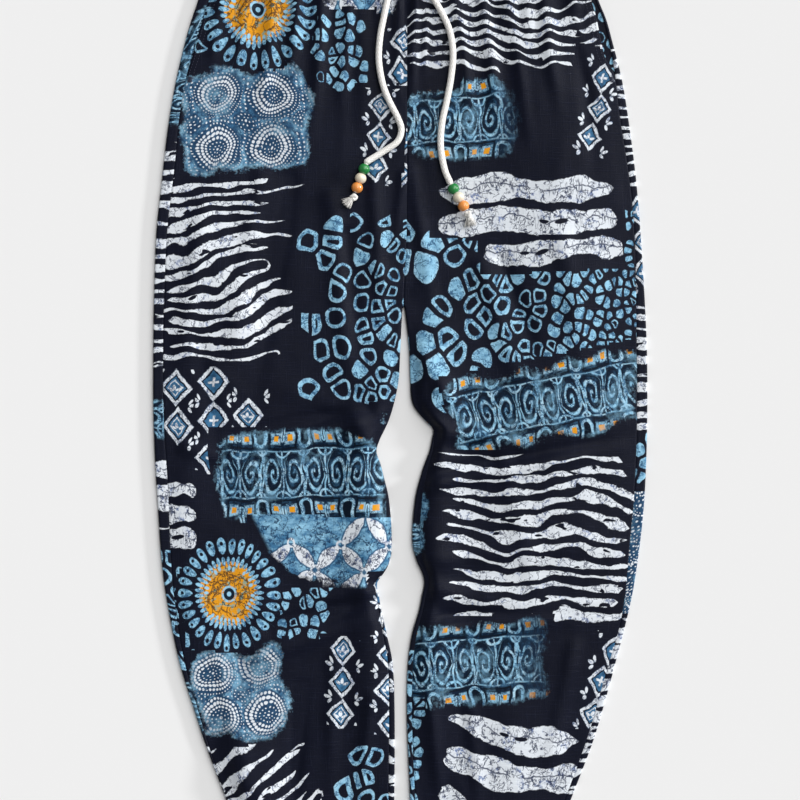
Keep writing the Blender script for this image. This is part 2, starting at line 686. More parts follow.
def smoothRoute(points, step):
    dense = []
    for index in range(len(points) - 1):
        before, start = Vector(points[max(index - 1, 0)]), Vector(points[index])
        end, after = Vector(points[index + 1]), Vector(points[min(index + 2, len(points) - 1)])
        for part in spread(0.0, 1.0, 60)[:-1]:
            square, cube = part * part, part ** 3
            dense.append(0.5 * (2 * start + (end - before) * part
                                + (2 * before - 5 * start + 4 * end - after) * square
                                + (3 * start - before - 3 * end + after) * cube))
    dense.append(Vector(points[-1]))
    total = sum((b - a).length for a, b in zip(dense, dense[1:]))
    count = max(round(total / step), 1)
    found, walked = [dense[0]], 0.0
    for a, b in zip(dense, dense[1:]):
        walked += (b - a).length
        if walked >= total / count * len(found) and len(found) < count:
            found.append(b)
    found.append(dense[-1])
    return found


def beadAxis(side):
    # The way along the beads, in the scene's axes
    across, along = bead["turn"][side]
    return Vector((across, -along, 0.0)).normalized()


def gridTube(name, points, radiusAt, around):
    # A closed tube along points in metres. Its UV map "along" holds the part of the turn and the length.
    rings = [points[0]] + points + [points[-1]]
    last = len(rings) - 1
    walked, normal, frames = 0.0, Vector((0.02, 0.05, 1.0)), []
    for index, middle in enumerate(rings):
        before, after = rings[max(index - 2, 0)], rings[min(index + 2, last)]
        tangent = (after - before).normalized()
        normal = (normal - tangent * normal.dot(tangent)).normalized()
        walked += (middle - rings[index - 1]).length if index else 0.0
        frames.append((middle, normal, tangent.cross(normal), walked))
    nothingSelected()
    bpy.ops.mesh.primitive_grid_add(x_subdivisions=around, y_subdivisions=last, size=1)
    item = named(bpy.context.object, name)
    mesh = item.data
    mesh.uv_layers.remove(mesh.uv_layers[0])
    along = mesh.uv_layers.new(name="along")
    for loop in mesh.loops:
        spot = mesh.vertices[loop.vertex_index].co
        along.data[loop.index].uv = (spot.x + 0.5, frames[round((0.5 - spot.y) * last)][3])
    for vert in mesh.vertices:
        row = round((0.5 - vert.co.y) * last)
        angle = 2 * math.pi * round((vert.co.x + 0.5) * around) / around
        middle, up, aside, _ = frames[row]
        radius = 0.0 if row in (0, last) else radiusAt((row - 1) / (last - 2), angle)
        vert.co = middle + (up * math.cos(angle) + aside * math.sin(angle)) * radius
    cleaned(item, merge=0.01 * mm)
    mesh.shade_smooth()
    return item


def makeBraid():
    # Crossing strands of a round braid, from the turn and the length along the cord
    takes = {"Along": None, "Strands": 8.0, "Pitch": 5.0}
    tree, takes, gives = newGroup("braid", takes, ("Gap", "Height", "Fibre"))
    turn, walked, _ = parts(takes["Along"])
    strands, pitch = Num(takes["Strands"]), Num(takes["Pitch"])
    step = walked * 1000 / pitch
    left, right = turn * strands + step, turn * strands - step
    over = ((left.floor() + right.floor()) * 0.5).frac().over(0.25)
    ridgeLeft, ridgeRight = (left * math.pi).sine().size(), (right * math.pi).sine().size()
    height = (ridgeLeft * over + ridgeRight * (1 - over)) * 0.7 + ridgeLeft * ridgeRight * 0.3
    fibre = cloud(turn * strands * 9, step * 7, 2.0, 0.7)
    feed(gives["Gap"], 1 - height.ramp(0.05, 0.42))
    feed(gives["Height"], height + 0.25 * fibre)
    feed(gives["Fibre"], fibre)
    return tree


def makeWoodGrain():
    tree, takes, gives = newGroup("lacquerGrain", {"Spot": None}, ("Grain", "Wear"))
    x, y, z = [part * 1000 for part in parts(takes["Spot"])]
    feed(gives["Grain"], cloud((x + z) * 1.3, (y - z * 0.6) * 0.25, 4.0, 0.6))
    wear = cloud((x - z) * 0.5, (y + z) * 0.5, 3.0, 0.6)
    feed(gives["Wear"], wear.ramp(0.52, 0.70))
    return tree


braid, woodGrain = makeBraid(), makeWoodGrain()
cottonLook = {
    "colour": (0.93, 0.91, 0.87, 1.0), "gap": (0.66, 0.61, 0.54, 1.0), "tip": (0.97, 0.96, 0.94, 1.0),
    "shine": {"Roughness": 0.85, "Specular IOR Level": 0.25, "Sheen Weight": 0.25},
    "bump": 0.6, "relief": 0.0005, "fluff": 0.35,
}
beadLook = {
    "green": (0.010, 0.235, 0.045), "cream": (0.90, 0.80, 0.63), "orange": (0.93, 0.33, 0.065),
    "shine": {"Roughness": 0.38, "Coat Weight": 0.55, "Coat Roughness": 0.12},
    "bump": 0.12, "relief": 0.0002, "dark": 0.72, "grain": 0.55, "worn": 0.25,
}


def cottonMaterial(name, strands, pitch, gap):
    made, tree, inputs = newMaterial(name, cottonLook["shine"])
    woven = useGroup(tree, braid, Along=uvMap(tree, "along"), Strands=strands, Pitch=pitch)
    fluff = woven["Fibre"].ramp(0.3, 0.8) * cottonLook["fluff"]
    warm = blended(fluff, cottonLook["colour"], cottonLook["tip"])
    feed(inputs["Base Color"], blended(woven["Gap"] * gap, warm, cottonLook["gap"]))
    addBump(inputs, woven["Height"], cottonLook["bump"], cottonLook["relief"])
    return made


def beadMaterial(name):
    made, tree, inputs = newMaterial(name + "Wood", beadLook["shine"])
    wood = useGroup(tree, woodGrain, Spot=objectPlace(tree))
    dark = tuple(part * beadLook["dark"] for part in beadLook[name]) + (1.0,)
    pale = tuple(part * 0.86 + 0.10 for part in beadLook[name]) + (1.0,)
    tone = blended(wood["Grain"].ramp(0.35, 0.65) * beadLook["grain"], beadLook[name] + (1.0,), dark)
    feed(inputs["Base Color"], blended(wood["Wear"] * beadLook["worn"], tone, pale))
    addBump(inputs, wood["Grain"], beadLook["bump"], beadLook["relief"])
    return made


braidedCotton = cottonMaterial("braidedCotton", float(cord["strands"]), cord["braidPitch"], 0.55)
fluffedCotton = cottonMaterial("fluffedCotton", 3.0, 9.0, 0.18)
beadMaterials = {name: beadMaterial(name) for name in bead["order"]}


def cordRoute(side):
    # The whole way of a cord's end, through its beads, in metres
    points = smoothRoute(cordRoutes[side], cord["step"])
    turn = Vector((*bead["turn"][side], 0.0))
    first, last = Vector(beadMiddle(side, 0)), Vector(beadMiddle(side, 2))
    half = bead["length"] / 2
    toBead = (points[-1], first - turn * (half + cord["bent"]), first - turn * (half + cord["straight"]))
    points += smoothRoute(toBead, cord["step"])[1:]
    points += smoothRoute((points[-1], first, last + turn * (half + cord["past"])), cord["step"])[1:]
    return [place(*spot) for spot in points]


def drawcord(side):
    route = cordRoute(side)
    total = sum((b - a).length for a, b in zip(route, route[1:]))
    entry = place(*beadMiddle(side, 0))

    def radiusAt(part, angle):
        here = route[min(round(part * (len(route) - 1)), len(route) - 1)]
        walked = part * total * 1000
        strand, step = angle / (2 * math.pi) * cord["strands"], walked / cord["braidPitch"]
        relief = abs(math.sin((strand + step) * math.pi)) * abs(math.sin((strand - step) * math.pi)) - 0.4
        # it narrows into the beads, and is squeezed along them
        toBead = (here - entry).length / mm - bead["length"] / 2
        if part > 0.9:
            toBead = min(toBead, 0.0) if toBead < 0.8 or part > 0.95 else toBead
        narrow = 1 - ease((toBead - cord["narrowFrom"]) / cord["narrows"])
        wide = cord["diameter"] - (cord["diameter"] - cord["inBead"]) * narrow
        slack = 1 + cord["slack"] * noise.noise(here * 60)
        return wide / 2 * mm * slack * (1 + cord["relief"] * relief)

    item = gridTube(f"braidedCord_{sideNames[side]}", route, radiusAt, cord["around"])
    item.data.materials.append(braidedCotton)
    standsFor(item, f"drawcord_{sideNames[side]}", "cotton_cord")
    return item, route, total


def woodBead(side, number):
    # A torus reshaped to a turned barrel, with softened rims at its bore
    colour = bead["order"][number]
    half, outer, bore = bead["length"] / 2, bead["diameter"] / 2, bead["bore"] / 2
    nothingSelected()
    bpy.ops.mesh.primitive_torus_add(major_segments=56, minor_segments=36, major_radius=1.0, minor_radius=0.4)
    item = named(bpy.context.object, f"woodBead_{sideNames[side]}_{colour}")
    axis = beadAxis(side)
    level = Vector((-axis.y, axis.x, 0.0))
    centre = place(*beadMiddle(side, number))
    for vert in item.data.vertices:
        around = math.atan2(vert.co.y, vert.co.x)
        section = math.atan2(vert.co.z, math.hypot(vert.co.x, vert.co.y) - 1.0)
        rise = math.sin(section)
        flat = math.copysign(min(abs(rise) * bead["flat"], 1.0), rise)
        barrel = outer * math.sqrt(1 - (bead["round"] * flat) ** 2)
        wall = ease((math.cos(section) + 0.30) / 0.60)
        radius = bore + (barrel - bore) * wall
        slide = half * flat * (1 - bead["softened"] * (1 - wall))
        offset = level * math.cos(around) + Vector((0, 0, 1)) * math.sin(around)
        vert.co = centre + (axis * slide + offset * radius) * mm
    onlySelected(item)
    bpy.ops.object.transform_apply(location=True, rotation=True, scale=True)
    cleaned(item)
    item.data.shade_smooth()
    item.data.materials.append(beadMaterials[colour])
    return standsFor(item, f"bead_{sideNames[side]}_{colour}", f"{colour}_bead")


def clothTop(x, down):
    side = -1 if x < innerX(-1, down) else 1
    across = abs(outerX(side, down) - x)
    return body["fold"] + lift(side, down, across)


def tiedKnot(side):
    # A small overhand knot and the cord's own yarns, combed out below it
    tailAcross, tailAlong = knot["tail"][side]
    tail = Vector((tailAcross, -tailAlong, knot["dip"])).normalized()
    fromBead = bead["length"] / 2 + body["gap"] + 0.54 * knot["diameter"]
    centre = place(*beadMiddle(side, 2)) + beadAxis(side) * fromBead * mm
    centre.z -= knot["drop"] * mm
    swing = tail.to_track_quat("Z", "Y").to_matrix() @ Matrix.Rotation(knot["swing"] * side, 3, "Z")
    loops = []
    for t in spread(0.0, 2 * math.pi, knot["steps"]):
        x, y = math.sin(t) + 2 * math.sin(2 * t), math.cos(t) - 2 * math.cos(2 * t)
        spot = Vector((x, y, -2.3 * math.sin(3 * t)))
        loops.append(centre + swing @ (spot * knot["loop"] * mm))
    pieces = [gridTube("knotLoops", loops, lambda part, angle: knot["strand"] * mm, 16)]
    pieces[0].data.materials.append(braidedCotton)
    chance = random.Random(40 + side)
    for _ in range(knot["threads"]):
        spin, off = chance.uniform(0, 2 * math.pi), math.sqrt(chance.random())
        aside = swing @ Vector((math.cos(spin), math.sin(spin), 0.0))
        start = centre + tail * knot["from"] * mm + aside * knot["spread"] * off * mm
        reach = chance.uniform(*knot["reach"])
        lean = (tail + aside * off * chance.uniform(*knot["fan"])).normalized()
        wave, phase = chance.uniform(0.3, 0.9), chance.uniform(0, 6)
        line = []
        for part in spread(0.0, 1.0, 8):
            bent = aside * (0.7 * math.sin(3.4 * part * wave + phase) * part) * mm
            spot = start + lean * reach * part * mm + bent
            spot.z -= knot["sink"] * part * part * mm
            floorHere = clothTop(spot.x / mm, body["length"] / 2 - spot.y / mm) + knot["above"]
            spot.z = max(spot.z, floorHere * mm + chance.uniform(0.0, 0.5) * part * mm)
            line.append(spot)
        yarn = gridTube("yarn", line, lambda part, angle: (knot["yarn"] - knot["thinned"] * part) * mm, 5)
        yarn.data.materials.append(fluffedCotton)
        pieces.append(yarn)
    item = joined(pieces, f"tiedKnot_{sideNames[side]}")
    onlySelected(item)
    bpy.ops.object.transform_apply(location=True, rotation=True, scale=True)
    return standsFor(item, f"knot_{sideNames[side]}", "cotton_cord")


for side in (-1, 1):
    drawn, route, total = drawcord(side)
    onCord = [woodBead(side, number) for number in range(3)] + [tiedKnot(side)]
    start = place(*cord["exit"][side])
    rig.cord(drawn, exit=tuple(start), length=round(total, 4), diameter=cord["diameter"] * mm, far_end="knot",
            stiffness="limp", lay="loose", with_pieces=onCord, path=route)
    print("drawcord end", sideNames[side], round(total, 3), "m")


# Each motif is a node group. It reads a face's place in its patch, the patch's half size, and its chance:
# a seed, a value of the motif's own and a pitch.
patchTakes = {"Place": None, "Half": None, "Chance": None}


def makeCrackle():
    # Cracks of the wax resist, and the stains where dye crept under it
    takes = {"Place": None, "Pitch": 12.0, "Amount": 0.5}
    tree, takes, gives = newGroup("waxCrackle", takes, ("Crack", "Stain"))
    x, y, _ = parts(takes["Place"])
    pitch, amount = Num(takes["Pitch"]), Num(takes["Amount"])
    bentX = x + (cloud(x * 0.07, y * 0.07 + 40, 3.0, 0.6) - 0.5) * 22
    bentY = y + (cloud(x * 0.07 + 90, y * 0.07, 3.0, 0.6) - 0.5) * 22
    wide, narrow = (bentX / pitch, bentY / pitch * 0.8), (bentX / pitch * 2.3, bentY / pitch * 1.9 + 40)
    broad, fine = cellEdge(*wide) * pitch, cellEdge(*narrow)
    patchy = cloud(x * 0.06 + 11, y * 0.06, 2.0)
    crowded = cloud(x * 0.075 + 61, y * 0.075, 2.0)
    width = 0.34 + 0.6 * cloud(x * 0.16 + 3, y * 0.16, 1.0).ramp(0.45, 0.70)
    crack = (1 - (broad / width).ramp(0.5, 1.5)) * patchy.ramp(0.40, 0.46)
    twigs = (1 - (fine * pitch / 2.3).ramp(0.16, 0.56)) * crowded.ramp(0.49, 0.54)
    feed(gives["Crack"], (crack.most(twigs) * amount).least(1.0))
    blot = cloud(x * 0.050 + 70, y * 0.050, 3.0, 0.6).ramp(0.53, 0.60)
    speck = cloud(x * 0.30, y * 0.24 + 5, 3.0, 0.7).ramp(0.46, 0.54)
    nearCrack = 1 - broad.ramp(0.5, 2.6) * 0.8
    feed(gives["Stain"], (blot * speck * nearCrack * amount).least(1.0))
    return tree


def makeFray():
    # The soft, dry-brushed edge of a patch of dye, with rounded corners
    tree, takes, gives = newGroup("frayedEdge", {**patchTakes, "Depth": 9.0}, ("Mask", "Edge"))
    x, y, _ = parts(takes["Place"])
    halfX, halfY, _ = parts(takes["Half"])
    seed, _, _ = parts(takes["Chance"])
    depth = Num(takes["Depth"])
    corner = 22.0
    fromSide = corner - hypot((x.size() - halfX + corner).most(0.0), (y.size() - halfY + corner).most(0.0))
    slow = cloud(x * 0.024 + seed * 13, y * 0.024 + seed * 7, 0.0)
    quick = cloud(x * 0.15 + seed * 5, y * 0.15, 3.0, 0.65)
    inside = fromSide - slow.ramp(0.30, 0.70) * depth - (quick - 0.35) * depth * 0.9
    grain = cloud(x * 0.34, y * 0.34 + seed * 3, 3.0, 0.7)
    mask = (inside * 0.17 + (grain - 0.40) * 1.5).ramp(0.0, 1.0) * fromSide.ramp(0.6, 6.0)
    feed(gives["Mask"], mask)
    feed(gives["Edge"], 1 - inside.ramp(2.0, depth))
    return tree


crackle, fray = makeCrackle(), makeFray()


def waxedPaint(patch, base, pitch, amount, crackTint, stainTint):
    # A resisted colour with its cracks and stains
    wax = useGroup(patch["Place"].id_data, crackle, Place=patch["Place"], Pitch=pitch, Amount=amount)
    return blended(wax["Crack"] * 0.92, blended(wax["Stain"] * 0.85, base, stainTint), crackTint)


def waxedWhite(patch, pitch=14.0, amount=0.85):
    return waxedPaint(patch, "white", pitch, amount, "crack", "violet")


def waxedBlue(patch, base, pitch, amount):
    return waxedPaint(patch, base, pitch, amount, "deep", "mid")


def frayed(patch, x, y, depth):
    return useGroup(x.tree, fray, Place=point(x, y), Half=patch["Half"], Chance=patch["Chance"], Depth=depth)


def within(x, y, halfX, halfY, low, high):
    return (halfX - x.size()).least(halfY - y.size()).ramp(low, high)


def zebraStripes(patch, x, y, halfX, halfY, seed, looped, pitch):
    # Hand-drawn wavering stripes. Some pairs join in a hairpin and the others run out in points.
    slow = (cloud(x * 0.0085 + seed * 31, y * 0.0095 + seed * 9, 0.0) - 0.5) * 36
    quick = (cloud(x * 0.030 + seed * 17, y * 0.026, 1.0) - 0.5) * 11
    reach = x / halfX + 1
    along = (y + slow + quick + reach * reach * looped * 7 + x * looped * 0.10) / (pitch * 2)
    row = along.floor()
    off = (along - row - 0.5) * (pitch * 2)
    half = pitch * 0.5 * (0.66 + 0.60 * cloud(x * 0.014 + row * 5.3, row * 2.7 + seed * 11, 0.0))
    lower = off.over(0.0)
    stripe = row * 2 + lower
    loopEnd = halfX * (0.30 + 0.56 * chanceOf(row + 3, seed * 10))
    loop = (hypot((x - loopEnd).most(0.0), off) - half).size()
    wander = cloud(x * 0.020 + stripe * 7.3, stripe * 3.1 + seed * 5, 1.0, 0.5)
    thick = pitch * (0.12 + 0.25 * wander.ramp(0.32, 0.66))
    middle = y - off + (lower * 2 - 1) * half
    thick = thick * (halfY - middle.size() - pitch * 0.16).ramp(0.0, 7.0)
    openEnd = halfX * (0.74 - looped * 0.8 + (0.24 + looped * 0.8) * chanceOf(stripe + 11, seed * 10))
    openStart = halfX * (-1.0 + 0.20 * chanceOf(stripe + 29, seed * 10))
    taper = (openEnd - x).ramp(-1.0, 20.0).root()
    start = (x - openStart).ramp(-1.0, 5.0)
    hasLoop = chanceOf(row + 17, seed * 10).under(looped)
    straight = (off.size() - half).size()
    thinned = thick * start * (hasLoop * (1 - taper) + taper).least(1.0)
    thinned = thinned * (1 - 0.42 * hasLoop * (x - loopEnd + 26).ramp(0.0, 26.0))
    away = straight + (loop - straight) * hasLoop
    edge = within(x, y, halfX, halfY, 0.8, 1.8)
    rough = cloud(x * 0.32, y * 0.32, 3.0, 0.6) - 0.5
    gnarl = cloud(x * 0.075, y * 0.11 + 12, 2.0) - 0.5
    uneven = (rough * 1.6 + gnarl * 3.4) * thinned.ramp(0.6, 3.2)
    torn = cloud(x * 0.055 + 40, y * 0.13 + seed * 5, 1.0).ramp(0.700, 0.715) * thinned.ramp(1.6, 2.6)
    mask = (thinned - 0.1 - away + uneven).ramp(0.0, 0.6) * thinned.ramp(0.5, 0.9) * edge * (1 - torn)
    return waxedWhite(patch), mask


def broadStrips(patch, x, y, halfX, halfY, seed, phase, pitch):
    # Broad torn strips with a dark crack along each, crossed by short upright ones
    slow = (cloud(x * 0.0100 + seed * 23, seed * 3 + y * 0.001, 0.0) - 0.5) * 24
    quick = (cloud(x * 0.034 + seed * 3, y * 0.02, 1.0) - 0.5) * 6
    along = (y + slow + quick) / pitch + 0.5 + phase
    row = along.floor()
    off = (along - row - 0.5) * pitch
    thick = pitch * (0.31 + 0.17 * cloud(x * 0.018 + row * 9.1, row * 3.7 + seed * 5, 1.0).ramp(0.3, 0.7))
    thick = thick * (halfY - (y - off).size() - pitch * 0.30).ramp(0.0, 5.0)
    end = halfX * (0.86 + 0.12 * chanceOf(row + 5, seed * 10))
    middle = halfX * 0.10 * (chanceOf(row + 9, seed * 10) - 0.5)
    reach = (x - middle).size() / end
    ragged = (cloud(off * 0.11 + row * 7, row + seed * 5, 2.0) - 0.5) * 0.13
    rounded = (1 - (reach + ragged).power(7.0)).most(0.0).root()
    rough = (cloud(x * 0.20, y * 0.20, 3.0, 0.6) - 0.5) * 3.0 + (cloud(x * 0.06, row * 9, 1.0) - 0.5) * 5
    edge = within(x, y, halfX, halfY, 0.8, 1.8)
    mask = (thick * rounded - off.size() + rough * thick.ramp(1.0, 6.0)).ramp(0.0, 0.8)
    mask = mask * edge * thick.ramp(0.5, 1.5)
    mask = mask * (1 - reach - ragged).ramp(0.0, 0.02)
    eyeX = x - halfX * 0.8 * (chanceOf(row + 41, seed * 10) - 0.5)
    eye = hypot(eyeX / 7.5, (off + 1.5 + eyeX * 0.12) / 2.6).least(hypot((eyeX + 19) / 5.5, (off + 2.2) / 2.2))
    mask = mask * eye.ramp(0.90, 1.05).most(chanceOf(row + 2, seed * 10).over(0.62))
    lineOff = off + 2.5 + (cloud(x * 0.030, row * 5.0, 3.0, 0.6) - 0.5) * 20
    line = (1 - lineOff.size().ramp(0.35, 1.1)) * cloud(x * 0.045 + row * 3, row, 2.0).ramp(0.40, 0.46)
    upright = (cloud(x * 0.17, off * 0.040 + row * 5, 2.0, 0.6) - 0.5).size()
    ticks = (1 - upright.ramp(0.008, 0.045)) * (1 - (lineOff.size() - 4).ramp(0.0, 5.0))
    ticks = ticks * cloud(x * 0.05 + 8, row * 2.0, 2.0).ramp(0.48, 0.54)
    return blended(line.most(ticks) * 0.9, waxedWhite(patch, 13.0, 1.0), "crack"), mask


def pebbleField(patch, x, y, halfX, halfY, seed, grade, pitch):
    # Pebbles that shrink from one end of the patch to the other, some of them open rings
    unit = grade * pitch
    swell = (x * grade).op("EXPONENT")
    mapX = swell * (y * grade).cosine() / unit + seed * 17
    mapY = swell * (y * grade).sine() / unit * 0.84 + seed * 29
    bentX = mapX + (cloud(mapX * 0.8, mapY * 0.8 + 9, 1.0) - 0.5) * 0.34
    bentY = mapY + (cloud(mapX * 0.8 + 7, mapY * 0.8, 1.0) - 0.5) * 0.34
    nearest, border = cells(bentX, bentY, "F1", 0.92), cellEdge(bentX, bentY, 0.92)
    away = Num(nearest["Distance"])
    luckA, luckB, luckC = parts(nearest["Color"])
    spotX, spotY, _ = parts(nearest["Position"])
    homeA, homeB = (spotX - seed * 17) * unit, (spotY - seed * 29) / 0.84 * unit
    homeX = hypot(homeA, homeB).op("LOGARITHM", math.e) / grade
    homeY = homeB.arctan(homeA) / grade
    step = pitch / swell
    room = border.op("SMOOTH_MIN", 0.60 - away, 0.14)
    rough = (cloud(x * 0.22, y * 0.22, 2.0) - 0.5) * 1.0
    solid = ((room - 0.062 - 0.05 * luckB - 0.075 * (1 - step.ramp(8.0, 13.5))) * step + rough).ramp(-0.1, 0.6)
    ring = (room - 0.185 - 0.07 * luckC) * step + rough
    middling = step.ramp(13.0, 15.5) * (1 - step.ramp(24.0, 27.0) * 0.8)
    opened = luckA.under(0.06 + 0.74 * middling)
    hollow = ring.ramp(0.0, 0.8) * opened
    fromSide = (halfX - homeX.size()).least(halfY - homeY.size())
    ragged = cloud(homeX * 0.018 + seed * 3, homeY * 0.018, 0.0).ramp(0.32, 0.68) * halfX.least(90.0) * 0.22
    present = (fromSide - ragged - step * 0.38).over(0.0)
    edge = within(x, y, halfX, halfY, 0.4, 1.2)
    mottle = cloud(x * 0.10, y * 0.10 + seed, 3.0, 0.65)
    tint = blended(mottle.ramp(0.44, 0.66) * (0.35 + 0.6 * luckB), "light", "mid")
    tint = blended((1 - room.ramp(0.10, 0.19)) * 0.35, tint, "pale")
    return waxedBlue(patch, tint, 9.0, 0.95), solid * (1 - hollow) * present * edge


def dotRing(x, y, away, spacing, counts):
    # Dots that stand on rings round the origin, largest on every third ring: returns their mask
    ring = (away / spacing + 0.5).floor()
    radius = ring * spacing
    many = (ring * counts).most(1.0).floor()
    angle = y.arctan(x) / (2 * math.pi) * many + chanceOf(ring, many)
    arc = (angle.frac() - 0.5) * radius * (2 * math.pi) / many
    big = 1.16 + 0.52 * ((ring - 4.0) * (math.pi * 0.40)).cosine()
    return (big - hypot(arc * ring.least(1.0), away - radius)).ramp(-0.22, 0.26)


def dotRosettes(patch, x, y, halfX, halfY, seed, own, pitch):
    # Rosettes of dotted rings on a ragged patch of blue, with a small one where four of them meet
    torn = frayed(patch, x, y, 13.0)
    warpX = x + (cloud(x * 0.022 + seed * 3, y * 0.022) - 0.5) * 17
    warpY = y + (cloud(x * 0.022 + 50, y * 0.022 + seed) - 0.5) * 17
    column, line = (warpX / pitch).floor(), (warpY / pitch).floor()
    shiftX = (chanceOf(column + 5, line + seed * 10) - 0.5) * 5
    shiftY = (chanceOf(column + 25, line + seed * 10) - 0.5) * 5
    cellX = warpX - (column + 0.5) * pitch + shiftX
    cellY = warpY - (line + 0.5) * pitch + shiftY
    away = hypot(cellX, cellY)
    swirl = hypot(cellX + 3.0 * (away / pitch), cellY + 4.0 * (away / pitch))
    outer = pitch * 0.455
    dots = dotRing(cellX, cellY, swirl, 4.2, 7.4) * (1 - away.ramp(outer + 0.6, outer + 1.0))
    crossX = ((warpX / pitch + 0.5).frac() - 0.5) * pitch
    crossY = ((warpY / pitch + 0.5).frac() - 0.5) * pitch
    crossAway = hypot(crossX, crossY)
    small = dotRing(crossX, crossY, crossAway, 4.1, 6.6) * (1 - crossAway.ramp(10.0, 10.4))
    rowX = hypot((crossX.size() - 2.4), ((warpY / 4.3).frac() - 0.5) * 4.3)
    rowY = hypot((crossY.size() - 2.4), ((warpX / 4.3).frac() - 0.5) * 4.3)
    rows = (0.95 - rowX.least(rowY)).ramp(-0.2, 0.2) * away.ramp(outer + 1.4, outer + 1.8)
    rows = rows * crossAway.ramp(11.0, 11.4)
    white = dots.most(small).most(rows) * (1 - torn["Edge"] * 0.7)
    broken = cloud(x * 0.12, y * 0.12 + 3, 2.0).ramp(0.26, 0.34)
    disc = (1 - away.ramp(outer + 0.2, outer + 1.6)).most(1 - crossAway.ramp(9.6, 11.0))
    mottle = cloud(x * 0.07, y * 0.07 + seed * 5, 4.0, 0.7)
    wash = blended(mottle.ramp(0.47, 0.74), "shade", "light")
    wash = blended(cloud(x * 0.16, y * 0.16 + 7, 3.0, 0.7).ramp(0.46, 0.60) * 0.6, wash, "mid")
    wash = waxedBlue(patch, wash, 9.0, 1.0)
    rays = cloud(cellX * 0.22, cellY * 0.22, 3.0, 0.7).ramp(0.38, 0.70)
    shade = blended(rays * 0.35, "shade", "mid")
    lit = blended(disc * 0.97, wash, shade)
    glow = torn["Edge"] * mottle.ramp(0.36, 0.60) * 0.75
    lit = blended(glow, lit, "light")
    return blended(white * broken, lit, "white"), torn["Mask"]


def sunRosette(patch, x, y, halfX, halfY, seed, drops, pitch):
    # A cracked gold disc with an eye, a rim of small bars and a ring of teardrops with dark dots
    px, py = x / halfX, y / halfY
    wobble = 1 + (cloud(px * 2.2 + seed * 9, py * 2.2, 1.0) - 0.5) * 0.14
    away = hypot(px, py) * wobble
    angle = py.arctan(px) / (2 * math.pi)
    size = halfX

    def ringCell(count, seedling, wander):
        turned = angle * count + seedling + (cloud(angle * 6 + 3, seed * 9, 0.0) - 0.5) * wander
        return (turned.frac() - 0.5) * away * (2 * math.pi) / count, turned.floor()

    arc, drop = ringCell(drops, 0.3, 0.9)
    along = (away - 0.835 + 0.03 * (chanceOf(drop, seed * 10) - 0.5)) / 0.142
    pointed = (1 - along.power(2.0).power(1.2)).most(0.0).root()
    width = (0.066 + 0.012 * chanceOf(drop + 9, 2.0)) * pointed * (1 + 0.24 * along)
    teardrop = ((width - arc.size()) * size).ramp(0.0, 0.8)
    hole = hypot(arc, (along - 0.30 - 0.2 * chanceOf(drop + 5, 3.0)) * 0.142)
    hole = ((0.030 - hole) * size).ramp(-0.3, 0.3)
    barArc, bar = ringCell(40.0, 0.7, 0.6)
    barLength = 0.062 + 0.035 * chanceOf(bar, 4.0)
    barAlong = (away - 0.575 + 0.02 * chanceOf(bar, 6.0)) / barLength
    barWidth = 0.036 * (1 - barAlong * barAlong).most(0.0).root()
    bars = ((barWidth - barArc.size()) * size).ramp(-0.1, 0.6)
    innerArc, innerBar = ringCell(34.0, 0.1, 1.2)
    innerAway = hypot(innerArc, (away - 0.482 + 0.05 * chanceOf(innerBar, 9.0)) * 0.6)
    specks = ((0.026 - innerAway) * size).ramp(-0.3, 0.4) * chanceOf(innerBar, 2.0).over(0.25)
    disc = ((0.568 - away) * size).ramp(0.0, 1.0)
    veins = (cloud(px * 3.0 + seed, py * 3.0, 4.0, 0.6) - 0.5).size()
    cracks = cellEdge(away * 7.0 + angle * 3, angle * 13.0 + veins * 4)
    lines = (1 - cracks.ramp(0.02, 0.12)) * cloud(px * 5, py * 5 + seed, 2.0).ramp(0.38, 0.48)
    lines = lines.most(1 - veins.ramp(0.006, 0.030))
    bare = cloud(px * 8 + seed * 7, py * 8, 3.0, 0.7)
    face = blended(bare.ramp(0.56, 0.63) * 0.8, "gold", "teal")
    face = blended(lines * 0.85, face, "ink")
    face = blended(specks, face, "light")
    eye = (0.105 - away) * size
    face = blended((eye + 2.2).ramp(-0.2, 0.4) * bare.ramp(0.3, 0.5), face, "light")
    face = blended(eye.ramp(-0.2, 0.4), face, "ink")
    face = blended(((0.042 - away) * size).ramp(-0.2, 0.4), face, "light")
    mottle = cloud(x * 0.16, y * 0.16 + 3, 3.0, 0.65)
    tint = blended(mottle.ramp(0.46, 0.66) * 0.8, "light", "mid")
    blue = waxedBlue(patch, tint, 8.0, 0.9)
    mask = disc.most(bars).most(teardrop * (1 - hole)) * within(x, y, halfX, halfY, 0.6, 1.2)
    return blended(disc * (1 - bars), blue, face), mask


def trefoil(x, y, size):
    # Three petals spread from one stem, to +y: returns their mask
    shape = None
    for degrees in (-62, 0, 62):
        turn = math.radians(degrees)
        along = y * math.cos(turn) + x * math.sin(turn)
        aside = x * math.cos(turn) - y * math.sin(turn)
        petal = 1 - hypot((along / size - 0.60) / 0.46, aside / size / (0.21 + 0.05 * (degrees == 0)))
        shape = petal if shape is None else shape.most(petal)
    return (shape * size * 0.2).ramp(-0.05, 0.35)


